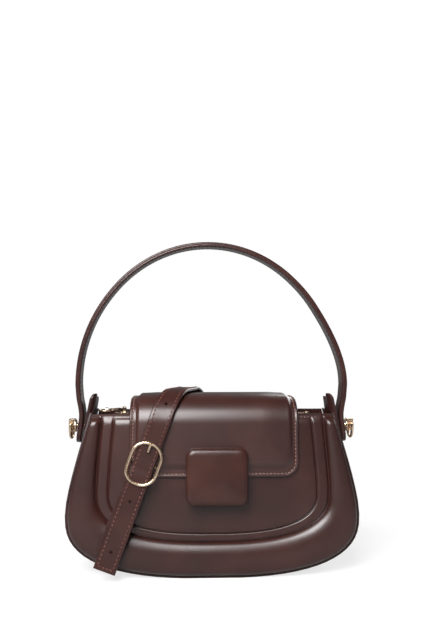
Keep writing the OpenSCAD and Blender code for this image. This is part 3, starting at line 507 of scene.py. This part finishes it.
# Flap: padded leather that bends over the rim and is sewn to the back
flapSet = {"width": 144, "x": 1, "low": 84, "lift": 9.3, "bend": 20, "rearBend": 12, "corner": 13,
           "side": 7.2, "margin": 11.7, "pad": 2.4, "crown": 0.9, "hinge": 124, "rootRun": 17,
           "rearLift": 1.5, "stitchIn": 3.0, "stitch": (3.1, 2.2, 1.0),
           "rootStitch": (3.1, 2.3, 0.75)}
planeZero = halfDepth(0) * leanCos
underFront = planeZero + frontSet["field"] + 0.4
underRear = planeZero + flapSet["rearLift"]
bendZ = bag["bodyH"] + flapSet["lift"] - flapSet["bend"]
rearZ = bag["bodyH"] + flapSet["lift"] - flapSet["rearBend"]
bendFront = -(underFront - bendZ * leanSin - flapSet["bend"]) / leanCos
bendRear = (underRear - rearZ * leanSin - flapSet["rearBend"]) / leanCos
arcTurn = pi / 2 - lean


def overFlap(s, level, frontR=None, rearR=None):
    # a point over the flap's underside at a run from the front bend's foot; runs are measured
    # at the radii frontR and rearR. Gives (y, z) and the outward direction (y, z)
    r, q = flapSet["bend"], flapSet["rearBend"]
    fr, rr = frontR or r, rearR or q
    s = np.asarray(s, float)
    level = np.broadcast_to(np.asarray(level, float), s.shape)
    a1, a2 = fr * arcTurn, bendRear - bendFront
    a3 = rr * arcTurn
    s2, s3, s4 = s - a1, s - a1 - a2, s - a1 - a2 - a3
    zones = [s < 0, s2 < 0, s3 < 0, s4 < 0]
    turn1, turn3 = pi - lean - s / fr, pi / 2 - s3 / rr
    one = np.ones_like(s)
    outY = np.select(zones, [-leanCos * one, np.cos(turn1), 0 * one, np.cos(turn3)], leanCos)
    outZ = np.select(zones, [leanSin * one, np.sin(turn1), one, np.sin(turn3)], leanSin)
    midY = np.select(zones, [bendFront + s * leanSin, bendFront * one, bendFront + s2,
                             bendRear * one], bendRear + s4 * leanSin)
    midZ = np.select(zones, [bendZ + s * leanCos, bendZ * one, bendZ * one, rearZ * one],
                     rearZ - s4 * leanCos)
    radius = np.where(s3 < 0, r, q) + level
    return midY + radius * outY, midZ + radius * outZ, outY, outZ


flapStart = -(bendZ + flapSet["bend"] * leanSin - flapSet["low"]) / leanCos
flapTurns = (flapSet["bend"] + flapSet["rearBend"]) * arcTurn + bendRear - bendFront
flapHinge = flapTurns + (rearZ + flapSet["rearBend"] * leanSin - flapSet["hinge"]) / leanCos
flapEnd = flapHinge + flapSet["rootRun"]
padEnd = flapTurns - 1.5
hingeBlend = ("root", "flap", (0, 0.0352, 0.1183), (0, 0.0238, 0.1297))


def boxDistance(x, s, half, low, high, radius):
    # distance inside a rounded rectangle, negative outside it
    middle, reach = (low + high) / 2, (high - low) / 2
    dx, ds = abs(x) - half + radius, abs(s - middle) - reach + radius
    return (radius - np.hypot(np.maximum(dx, 0), np.maximum(ds, 0))
            - np.minimum(np.maximum(dx, ds), 0))


def flapTop(x, s):
    # level of the outer face: a flat sewn margin, a dip along the seam and the padded middle
    f = flapSet
    edge = boxDistance(x, s, f["width"] / 2, flapStart, flapEnd + 40, f["corner"])
    pad = boxDistance(x, s, f["width"] / 2 - f["side"] + 1.5, flapStart + f["margin"] - 4.5, padEnd,
                      f["corner"] - 4)
    level = 1.0 + 1.8 * np.sqrt(1 - (1 - np.clip(edge / 1.1, 0, 1)) ** 2)
    soft = np.where(s < flapStart + 30, 3.4 + 4.6 * smooth((flapStart + 30 - s) / 26), 3.4)
    puff = (1 - (1 - np.clip(pad / soft, 0, 1)) ** 2.0) ** 0.8
    dip = 0.3 * np.exp(-((edge - 3.0) / 0.9) ** 2)
    return level + (f["pad"] + f["crown"] * smooth(pad / 26)) * puff - dip


def makeFlap():
    rows = np.concatenate([flapStart + 13 * (1 - np.cos(np.linspace(0, pi / 2, 22)))[:-1],
                           np.linspace(flapStart + 13, flapEnd, 130)])
    wide = 170

    def law(u, v):
        i = np.rint(v * (len(rows) - 1)).astype(int)
        s = rows[i]
        dip = np.clip(flapSet["corner"] - (s - flapStart), 0, None)
        half = flapSet["width"] / 2 - flapSet["corner"] + np.sqrt(flapSet["corner"] ** 2 - dip ** 2)
        top = u <= 0.5
        across = np.where(top, 4 * u - 1, 3 - 4 * u)
        x = half * np.sin(across * pi / 2 * 0.9) / sin(pi / 2 * 0.9)
        under = 0.98 - 2.4 * smooth((s - flapHinge) / 7)
        level = np.where(top, np.maximum(flapTop(x, s), under + 0.02), under)
        y, z = overFlap(s, level)[:2]
        return np.stack([x + flapSet["x"], y, z], -1)
    piece = mend(layGrid("flapCover", 2 * wide, len(rows) - 1, law), fill=True, angle=60)
    return finishPiece(piece, flapLeather, None, "flap_leather", "flap_root",
                       slot="brown_leather", blend=hingeBlend)


flapCover = makeFlap()


def flapSeam(inset):
    # the stitch line along the flap's sides and lower edge
    f = flapSet
    r, half = f["corner"] - inset, f["width"] / 2 - inset
    low = flapStart + inset
    turns = np.linspace(0, pi / 2, 12)
    corner = np.stack([half - r + r * np.cos(turns), low + r - r * np.sin(turns)], -1)
    side = np.stack([np.full(60, half), np.linspace(flapEnd - 3, low + r, 60)], -1)
    line = np.concatenate([side, corner, [[0, low]], corner[::-1] * (-1, 1), side[::-1] * (-1, 1)])
    y, z, outY, outZ = overFlap(line[:, 1], flapTop(line[:, 0], line[:, 1]) + 0.02)
    points = np.stack([line[:, 0] + f["x"], y, z], -1)
    return points, np.stack([0 * y, outY, outZ], -1)


stitchRow("flapStitches", [flapSeam(flapSet["stitchIn"])], *flapSet["stitch"], threadPale, None,
          blend=hingeBlend)
rootLine = onFace(np.linspace(-66, 68, 80), (flapSet["hinge"] - 14) / leanCos, 4.2, -1)
stitchRow("flapRootStitches", [(rootLine, np.tile([0, leanCos, leanSin], (80, 1)))],
          *flapSet["rootStitch"], threadDark, "root")
print("flap ready")

# Lock: a padded square that hides the magnetic snap
lockSet = {"width": 52, "height": 48, "thick": 9, "corner": 7.5, "z": 85.2, "x": 3, "foot": 5.3,
           "pillow": 0.9,
           "wall": ((2.0, 0.0), (0.6, 0.05), (0.15, 0.5), (0, 1.1), (0, 2.3), (0.12, 2.75),
                    (0.35, 2.95), (0.2, 3.2), (0, 3.7)),
           "face": ((0, 4.0), (0.15, 3.0), (0.6, 2.0), (1.4, 1.1), (2.6, 0.5), (4.0, 0.15),
                    (6.0, 0), (9, 0), (12, 0), (15, 0), (18, 0), (21, 0), (23.2, 0))}


def atLock(x, h, level):
    # a point of the lock from its place on the lock's face and its level over the front
    y0 = -(underFront - lockSet["z"] * leanSin) / leanCos
    return np.stack([lockSet["x"] + x, y0 + h * leanSin - level * leanCos,
                     lockSet["z"] + h * leanCos + level * leanSin], -1)


def roundedRing(half, tall, radius, count):
    # a rounded rectangle of 4 * count points
    turns = np.linspace(0, pi / 2, count, endpoint=True)
    corner = np.stack([np.cos(turns), np.sin(turns)], -1) * radius
    ring = []
    for k, (sx, sz) in enumerate(((1, 1), (-1, 1), (-1, -1), (1, -1))):
        part = corner if k % 2 == 0 else corner[::-1]
        ring.append(np.stack([sx * (half - radius + part[:, 0]),
                              sz * (tall - radius + part[:, 1])], -1))
    return np.concatenate(ring + [ring[0][:1]])


def makeLock():
    c = lockSet
    # (inset, level): the foot, a seam half way up, and the pillowed face
    levels = list(c["wall"]) + [(inset, c["thick"] - drop) for inset, drop in c["face"]]
    rings, heights = [], []
    for inset, level in levels:
        radius = max(c["corner"] - inset * 0.9, 1.2)
        rings.append(roundedRing(c["width"] / 2 - inset, c["height"] / 2 - inset, radius, 9))
        heights.append(level)
    rings, heights = np.array(rings), np.array(heights)

    def law(u, v):
        i = np.rint(v * (len(levels) - 1)).astype(int)
        j = np.rint(u * (rings.shape[1] - 1)).astype(int)
        x, h = rings[i, j, 0], rings[i, j, 1]
        crown = c["pillow"] * (1 - (2 * x / c["width"]) ** 2) * (1 - (2 * h / c["height"]) ** 2)
        return atLock(x, h, c["foot"] + heights[i] + np.where(i > 12, crown, 0.0))
    piece = mend(layGrid("lockPad", rings.shape[1] - 1, len(levels) - 1, law), fill=True,
                 angle=60)
    applyModifier(piece, "SUBSURF", levels=1, render_levels=1)
    return finishPiece(piece, lockLeather, "flap", "lock_cover", slot="brown_leather")


lockLeather = leather("calfLeatherLock", "#3f211c", "#351a16", "#49281f", rough=0.32, coat=0.35)
lockPad = makeLock()
print("lock ready")

# Handle: two layers of leather sewn together, carried on an elliptic arch with flared ends
handleSet = {"width": 19, "thick": 4.2, "top": 287, "span": 240, "wideZ": 161, "studZ": 124.5,
             "end": 9.5, "sag": 6.5, "seamIn": 2.6, "edge": 1.2, "edgePoints": 15,
             "groove": 0.32, "stitch": (3.6, 2.5, 0.4),
             "leg": ((0, -51), (-2.4, -35), (-3.4, -27), (-2.6, -20), (-0.9, -12), (0, 0))}


def handlePath():
    h = handleSet
    half = h["span"] / 2 - h["thick"] / 2
    turns = np.linspace(0, pi, 121)
    arch = np.stack([half * np.cos(turns), h["wideZ"] + (h["top"] - h["wideZ"] - h["thick"] / 2)
                     * np.sin(turns)], -1)
    dx, dz = np.array(h["leg"], float).T
    at = np.concatenate([np.linspace(-51, -42, 14)[:-1], np.linspace(-42, 0, 26)[:-1]])
    softened = np.interp(at, dz, dx)
    for _ in range(3):
        softened[1:-1] = (softened[:-2] + 2 * softened[1:-1] + softened[2:]) / 4
    leg = np.stack([half + softened, h["wideZ"] + at], -1)
    line = np.concatenate([leg, arch, leg[::-1] * (-1, 1)])
    # the soft arch sags a little to the left, as in the photograph
    high = smooth((line[:, 1] - h["wideZ"]) / 70)
    line[:, 0] -= h["sag"] * high * np.clip((line[:, 0] + 90) / 170, 0, 1)
    step = np.gradient(line, axis=0)
    step /= np.linalg.norm(step, axis=1)[:, None]
    up = np.stack([step[:, 1], -step[:, 0]], -1)
    below = np.clip(h["studZ"] - 5 - line[:, 1], 0, h["end"] - 0.15)
    scale = np.sqrt(1 - (below / h["end"]) ** 2)
    return line, up, scale


def makeHandle():
    line, up, scale = handlePath()
    spots = np.stack([line[:, 0], 0 * line[:, 0], line[:, 1]], -1)
    out = np.stack([up[:, 0], 0 * up[:, 0], up[:, 1]], -1)
    side = np.tile([0.0, 1.0, 0.0], (len(line), 1))
    h = handleSet
    # a fine groove runs along each edge, where the two layers meet
    count = h["edgePoints"]
    other = count + flatPoints
    loop = ribbonLoop(h["width"], h["thick"], h["edge"], count)
    groove = h["groove"] * np.exp(-(np.linspace(-1, 1, count) / 0.16) ** 2)
    loop[:count, 0] -= groove
    loop[other:other + count, 0] += groove
    piece = sweep("archHandle", spots, side, out, loop, scale)
    dyeEdges(piece, count)
    finishPiece(piece, strapLeather, "handle", "handle_strap", slot="brown_leather")
    piece.data.materials.append(edgePaint)
    runs = []
    for level, way in ((h["thick"] / 2 + 0.03, 1), (-h["thick"] / 2 - 0.03, -1)):
        for edge in (-1, 1):
            far = (h["width"] / 2 - h["seamIn"]) * edge
            seam = spots + side * far + out * level
            keep = line[:, 1] > h["studZ"] - 6
            runs.append((seam[keep], way * out[keep]))
    stitchRow("handleStitches", runs, *h["stitch"], edgePaint, "handle")


def dyeEdges(piece, count):
    # gives the rounded edges of a swept strap, count points each, the second material
    share = (count - 1) / (count + flatPoints)
    layer = piece.data.uv_layers.active.data
    for face in piece.data.polygons:
        u = sum(layer[i].uv[0] for i in face.loop_indices) / face.loop_total
        face.material_index = 1 if (2 * u) % 1 < share else 0


makeHandle()
print("handle ready")

# Strap: one long belt with painted edges, over the flap, down the back and folded away
strapSet = {"width": 19, "thick": 2.6, "lean": radians(20.2), "buckleX": 58, "buckleZ": 96.5,
            "level": 7.8, "pitch": 43, "prong": 10, "hole": 2.6, "tail": 93, "upperFrom": -17.8,
            "runs": 6, "runLen": 100, "firstRun": 112, "lastRun": 34, "foldPitch": 3.4,
            "loosePitch": 9.1, "stitchIn": 2.9, "edge": 0.9, "edgePoints": 11,
            "stitch": (3.6, 2.5, 1.2)}
strapMid = strapSet["level"] + strapSet["thick"] / 2
strapFrontR, strapRearR = flapSet["bend"] + strapMid, flapSet["rearBend"] + strapMid
buckleRun = -(bendZ + flapSet["bend"] * leanSin - strapSet["buckleZ"]) / leanCos
strapTurns = (strapFrontR + strapRearR) * arcTurn + bendRear - bendFront
hingeRun = strapTurns + (rearZ + flapSet["rearBend"] * leanSin - flapSet["hinge"]) / leanCos
hingeX = -strapSet["buckleX"] + (hingeRun - buckleRun) * tan(strapSet["lean"])
upperTo = (hingeRun - buckleRun) / cos(strapSet["lean"])


def strapPoint(t, u, level):
    # a point of the strap from its distance along, its distance across and its level
    a = strapSet["lean"]
    t, u, level = np.broadcast_arrays(np.asarray(t, float), u, level)
    s = buckleRun + t * cos(a) - u * sin(a)
    y, z, outY, outZ = overFlap(s, level, strapFrontR, strapRearR)
    return (np.stack([-strapSet["buckleX"] + t * sin(a) + u * cos(a), y, z], -1),
            np.stack([0 * y, outY, outZ], -1))


def turned(t, u, level, turn, corner):
    # a flat stretch of the strap on the front (turn 1) or the back (turn -1)
    a = strapSet["lean"]
    t, u, level = np.broadcast_arrays(np.asarray(t, float), u, level)
    x, h = u * cos(a) + t * sin(a), t * cos(a) - u * sin(a)
    y, z = h * leanSin - level * leanCos, h * leanCos + level * leanSin
    return np.stack([corner[0] + turn * x, corner[1] + turn * y, corner[2] + z], -1)


buckleCorner = (-strapSet["buckleX"], -(underFront - strapSet["buckleZ"] * leanSin) / leanCos,
                strapSet["buckleZ"])
rearCorner = (hingeX, (underRear - flapSet["hinge"] * leanSin) / leanCos, flapSet["hinge"])


def arcOf(middle, radius, start, end, count=13):
    turns = np.linspace(radians(start), radians(end), count)
    return [(middle[0] + radius * cos(k), middle[1] + radius * sin(k)) for k in turns]


def foldedLine():
    # the strap behind the bag as (distance along, level) from the hinge line on
    c = strapSet
    low, high = -c["firstRun"], -c["firstRun"] + c["runLen"]
    mid, line = c["level"] + c["thick"] / 2, []
    line += [(t, mid) for t in np.linspace(-1, low + 1, 30)]
    for k in range(c["runs"]):
        level = mid + k * c["foldPitch"]
        if k % 2 == 0:
            line += arcOf((low, level + c["foldPitch"] / 2), c["foldPitch"] / 2, 270, 90, 9)
            line += [(t, level + c["foldPitch"]) for t in np.linspace(low + 1, high - 1, 26)]
        elif k < c["runs"] - 1:
            line += arcOf((high, level + c["foldPitch"] / 2), c["foldPitch"] / 2, -90, 90, 9)
            line += [(t, level + c["foldPitch"]) for t in np.linspace(high - 1, low + 1, 26)]
    last = mid + (c["runs"] - 1) * c["foldPitch"]
    line += arcOf((high, last + c["loosePitch"] / 2), c["loosePitch"] / 2, -90, 90, 15)
    end = last + c["loosePitch"]
    line += [(t, end) for t in np.linspace(high - 1, high - c["lastRun"] + 1.5, 12)]
    bar = (high - c["lastRun"] - 2.0, end + 1.2)
    line += arcOf(bar, 1.9, 60, 290, 12)
    return np.array(line)


def makeStrap():
    c = strapSet
    section = ribbonLoop(c["width"], c["thick"], c["edge"], c["edgePoints"])
    t = np.concatenate([np.linspace(c["upperFrom"], 4, 22), np.linspace(5, upperTo - 1, 110)])
    # under the buckle the strap dips to its bar and rises over it
    dip = -0.9 * np.exp(-((t + 3) / 7) ** 2) + 0.5 * smooth((t - 6) / 12) * smooth((60 - t) / 20)
    middle, up = strapPoint(t, 0, strapMid + dip)
    right, _ = strapPoint(t, 1, strapMid + dip)
    side = right - middle
    rear = foldedLine()
    back = turned(rear[:, 0], 0, rear[:, 1], -1, rearCorner)
    step = np.gradient(rear, axis=0)
    step /= np.linalg.norm(step, axis=1)[:, None]
    zero = turned(0, 0, 0, -1, rearCorner)
    along, lift = turned(1, 0, 0, -1, rearCorner) - zero, turned(0, 0, 1, -1, rearCorner) - zero
    cross = turned(0, 1, 0, -1, rearCorner) - zero
    backUp = step[:, 1:] * along - step[:, :1] * lift
    path = np.concatenate([middle, back])
    ups = np.concatenate([up, backUp])
    # the strap runs on over the hinge line, so the side keeps its hand there
    sides = np.concatenate([side, np.tile(-cross, (len(rear), 1))])
    ups /= np.linalg.norm(ups, axis=1)[:, None]
    sides /= np.linalg.norm(sides, axis=1)[:, None]
    piece = sweep("longStrap", path, sides, ups, section)
    dyeEdges(piece, c["edgePoints"])
    punch(piece, [strapPoint(c["prong"] + k * c["pitch"], 0, strapMid) for k in (0, 1)])
    finishPiece(piece, strapLeather, None, "strap_upper", "strap_rear", slot="brown_leather",
                blend=hingeBlend)
    piece.data.materials.append(edgePaint)
    runs = []
    for edge in (-1, 1):
        far = edge * (c["width"] / 2 - c["stitchIn"])
        seam, out = strapPoint(t, far, strapMid + dip + c["thick"] / 2 + 0.02)
        runs.append((seam, out))
        seam = (turned(rear[:, 0], far, rear[:, 1], -1, rearCorner)
                + backUp * (c["thick"] / 2 + 0.02))
        runs.append((seam[:-12], backUp[:-12]))
    stitchRow("strapStitches", runs, *c["stitch"], threadDark, None, blend=hingeBlend)


def punch(piece, spots):
    # cuts the round adjusting holes, with clean walls
    for middle, out in spots:
        middle, out = np.asarray(middle).reshape(3), np.asarray(out).reshape(3)
        clearAll()
        bpy.ops.mesh.primitive_cylinder_add(vertices=24, radius=strapSet["hole"] / 2 / mm,
                                            depth=0.008, location=middle / mm,
                                            rotation=(-np.arctan2(out[1], out[2]), 0, 0))
        cutter = bpy.context.object
        applyModifier(piece, "BOOLEAN", operation="DIFFERENCE", object=cutter, solver="EXACT")
        bpy.data.objects.remove(cutter)


def makeTail():
    c = strapSet
    t = np.linspace(-c["tail"], c["upperFrom"] - 0.2, 70)
    bow = strapMid + 0.35 * np.sin(np.linspace(0, 3, 70))
    middle = turned(t, 0, bow, 1, buckleCorner)
    side = turned(t, 1, bow, 1, buckleCorner) - middle
    up = np.tile([0, -leanCos, leanSin], (70, 1))
    section = ribbonLoop(c["width"], c["thick"], c["edge"], c["edgePoints"])
    piece = sweep("strapTail", middle, side, up, section)
    dyeEdges(piece, c["edgePoints"])
    punch(piece, [(turned(c["prong"] - k * c["pitch"], 0, strapMid, 1, buckleCorner), up[0])
                  for k in (1, 2)])
    finishPiece(piece, strapLeather, "strap_tail", "strap_tail", slot="brown_leather")
    piece.data.materials.append(edgePaint)
    top = c["thick"] / 2 + 0.02
    side = c["width"] / 2 - c["stitchIn"]
    runs = [(turned(t[3:], e * side, bow[3:] + top, 1, buckleCorner), up[3:]) for e in (-1, 1)]
    across = np.linspace(-side, side, 12)
    runs.append((turned(-c["tail"] + 2.9, across, strapMid + top, 1, buckleCorner), up[:12]))
    stitchRow("tailStitches", runs, *c["stitch"], threadDark, "strap_tail")


makeStrap()
makeTail()
print("strap ready")

# Hardware: the CAD solids' own shapes with eased edges
for node, name, body, bevel in (
        ("stud_left", "studLeft", "root", 0.4), ("stud_right", "studRight", "root", 0.4),
        ("d_ring_left", "dRingLeft", "ring_left", 0),
        ("d_ring_right", "dRingRight", "ring_right", 0),
        ("buckle_frame", "buckleFrame", "flap", 0), ("buckle_prong", "bucklePin", "flap", 0.25),
        ("zip_slider", "zipSlider", "slider", 0.3), ("zip_puller", "zipPull", "puller", 0),
        ("zip_ring", "zipRing", "pull_ring", 0), ("zip_stops", "zipStops", "root", 0.3),
        ("tab_clasp", "tabClasp", "strap_tail", 0.4), ("clasp_eye", "claspEye", "root", 0.3),
        ("clasp_hook", "claspHook", "hook", 0.2), ("clasp_gate", "claspGate", "gate", 0.2),
        ("snap_male", "snapNub", "flap", 0.15), ("snap_female", "snapDish", "root", 0.15),
        ("snap_washer", "snapWasher", "root", 0), ("stud_nuts", "studNuts", "root", 0.2)):
    smoothCopy(node, name, paleGold, body, bevel=bevel)
for node, name, material, body, bevel, slotName in (
        ("flap_lining", "flapLining", liningSuede, "flap", 0, "trim_leather"),
        ("facing_front", "rimFacingFront", sideLeather, "root", 0.3, "trim_leather"),
        ("facing_back", "rimFacingBack", sideLeather, "root", 0.3, "trim_leather"),
        ("back_panel", "backPanel", bodyLeather, "root", 0.5, "brown_leather"),
        ("buckle_tab", "buckleTab", strapLeather, "flap", 0.3, "trim_leather"),
        ("tab_tail", "tabTail", strapLeather, "strap_tail", 0.3, "trim_leather"),
        ("bundle_tie", "bundleTie", sideLeather, "root", 0.4, "trim_leather"),
        ("gusset", "sideSkin", sideLeather, "root", 0.5, "brown_leather")):
    smoothCopy(node, name, material, body, bevel=bevel, slot=slotName)
# boards, lining, foam and the zip keep their solids and only take a material
for node, material in (("front_board", boardFibre), ("back_board", boardFibre),
                       ("base_board", boardFibre), ("lining_front", liningSuede),
                       ("lining_back", liningSuede), ("lining_side", liningSuede),
                       ("inner_pocket", liningSuede), ("flap_foam", foamCell),
                       ("lock_core", foamCell), ("zip_tape_front", zipCloth),
                       ("zip_tape_back", zipCloth), ("zip_teeth", paleGold)):
    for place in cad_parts[node].material_slots:
        place.material = material

# Ears of the side skin, and the buckle's size over its solid
earSet = {"foot": 136, "rise": 12, "half": 14.5, "out": 1.8, "backOut": 1.8, "backDrop": 6}
buckleGrowth = 1.07


def narrowEars(piece, c):
    # each ear leans out a little and its back edge drops, so the front edge stands highest
    spots = readPoints(piece) * mm
    share = smooth((spots[:, 2] - c["foot"]) / c["rise"])
    back = np.clip(spots[:, 1] / c["half"], -1, 1) * 0.5 + 0.5
    spots[:, 0] += np.sign(spots[:, 0]) * share * (c["out"] + c["backOut"] * back)
    spots[:, 2] -= share * c["backDrop"] * back ** 1.5
    writePoints(piece, spots)


def growAboutMiddle(piece, share):
    # scales a mesh about the middle of its own points
    spots = readPoints(piece) * mm
    middle = (spots.min(0) + spots.max(0)) / 2
    writePoints(piece, middle + (spots - middle) * share)


narrowEars(bpy.data.objects["sideSkin"], earSet)
growAboutMiddle(bpy.data.objects["buckleFrame"], buckleGrowth)
print("hardware ready")

# Floor, backdrop and lamps
studio = {"floor": 3.0, "fogFrom": 0.17, "fog": 0.26, "lift": 0.74, "mirror": 0.12,
          "low": 0.04, "world": 0.5,
          "lamps": (("keyLamp", (-0.34, -0.84, 0.84), 0.72, 20.0, 0.12),
                    ("fillLamp", (0.5, -1.1, 0.5), 0.9, 0.15, 0.12),
                    ("sideLamp", (-1.1, -0.3, 0.5), 0.7, 0.3, 0.12),
                    ("backLamp", (0.7, 1.1, 0.6), 0.9, 7.0, 0.1))}


def seenShare(tree, s, others):
    # 1 for camera rays and the others named; mirrored rays see the white at a small share,
    # because the full white turned the dark leather grey
    ray = addNode(tree, "ShaderNodeLightPath")
    seen = ray.outputs["Is Camera Ray"]
    mirror = addNode(tree, "ShaderNodeMath", {1: s["mirror"]}, {0: ray.outputs["Is Glossy Ray"]},
                     operation="MULTIPLY").outputs[0]
    for other in [ray.outputs[name] for name in others] + [mirror]:
        seen = addNode(tree, "ShaderNodeMath", {}, {0: seen, 1: other},
                       operation="MAXIMUM").outputs[0]
    return seen


def makeStudio(s):
    # grey paper that looks white to the camera near the bag and fades to plain white further off
    clearAll()
    bpy.ops.mesh.primitive_grid_add(x_subdivisions=4, y_subdivisions=4, size=2 * s["floor"])
    floor = bpy.context.object
    floor.name = "studioFloor"
    material, tree, shader = newMaterial("paperFloor", "#a8a8a8", 0.9, specular=0.1)
    place = addNode(tree, "ShaderNodeTexCoord").outputs["Object"]
    away = addNode(tree, "ShaderNodeVectorMath", links={0: place}, operation="LENGTH")
    far = addNode(tree, "ShaderNodeMapRange", {"From Min": s["fogFrom"], "From Max": s["fog"]},
                  {"Value": away.outputs["Value"]}, interpolation_type="SMOOTHSTEP")
    seen = seenShare(tree, s, ())
    amount = addNode(tree, "ShaderNodeMath", {}, {0: far.outputs["Result"], 1: seen},
                     operation="MULTIPLY")
    white = addNode(tree, "ShaderNodeEmission", {"Color": (1, 1, 1, 1), "Strength": 1.0})
    lift = addNode(tree, "ShaderNodeMath", {1: s["lift"]}, {0: seen}, operation="MULTIPLY")
    glow = addNode(tree, "ShaderNodeEmission", {"Color": (1, 1, 1, 1)},
                   {"Strength": lift.outputs[0]})
    near = addNode(tree, "ShaderNodeAddShader", {}, {0: shader.outputs[0], 1: glow.outputs[0]})
    both = addNode(tree, "ShaderNodeMixShader", {}, {"Fac": amount.outputs[0],
                   1: near.outputs[0], 2: white.outputs[0]})
    tree.links.new(both.outputs[0], tree.nodes["Material Output"].inputs["Surface"])
    floor.data.materials.append(material)

    world = bpy.data.worlds.new("studioWorld")
    scene.world = world
    world.use_nodes = True
    tree = world.node_tree
    soft = tree.nodes["Background"]
    # the studio is dim round the camera and bright overhead
    place = addNode(tree, "ShaderNodeTexCoord").outputs["Generated"]
    parts = addNode(tree, "ShaderNodeSeparateXYZ", links={0: place})
    sky = addNode(tree, "ShaderNodeMapRange", {"From Min": 0.0, "From Max": 0.9,
                  "To Min": s["low"], "To Max": s["world"]}, {"Value": parts.outputs["Z"]})
    tree.links.new(sky.outputs["Result"], soft.inputs["Strength"])
    clear = seenShare(tree, s, ("Is Transmission Ray",))
    shown = addNode(tree, "ShaderNodeBackground", {"Color": (1, 1, 1, 1), "Strength": 1.0})
    both = addNode(tree, "ShaderNodeMixShader", {}, {"Fac": clear,
                   1: soft.outputs[0], 2: shown.outputs[0]})
    tree.links.new(both.outputs[0], tree.nodes["World Output"].inputs["Surface"])

    for name, place, size, power, aimZ in s["lamps"]:
        bpy.ops.object.light_add(type="AREA", location=place)
        lamp = bpy.context.object
        lamp.name = name
        lamp.data.size = size
        lamp.data.energy = power
        away = np.array(place) - (0, 0, aimZ)
        flat = float(np.hypot(away[0], away[1]))
        lamp.rotation_euler = (np.arctan2(flat, away[2]), 0, np.arctan2(away[0], -away[1]))


makeStudio(studio)
scene.view_settings.view_transform = "Standard"
print("studio ready")

clearAll()
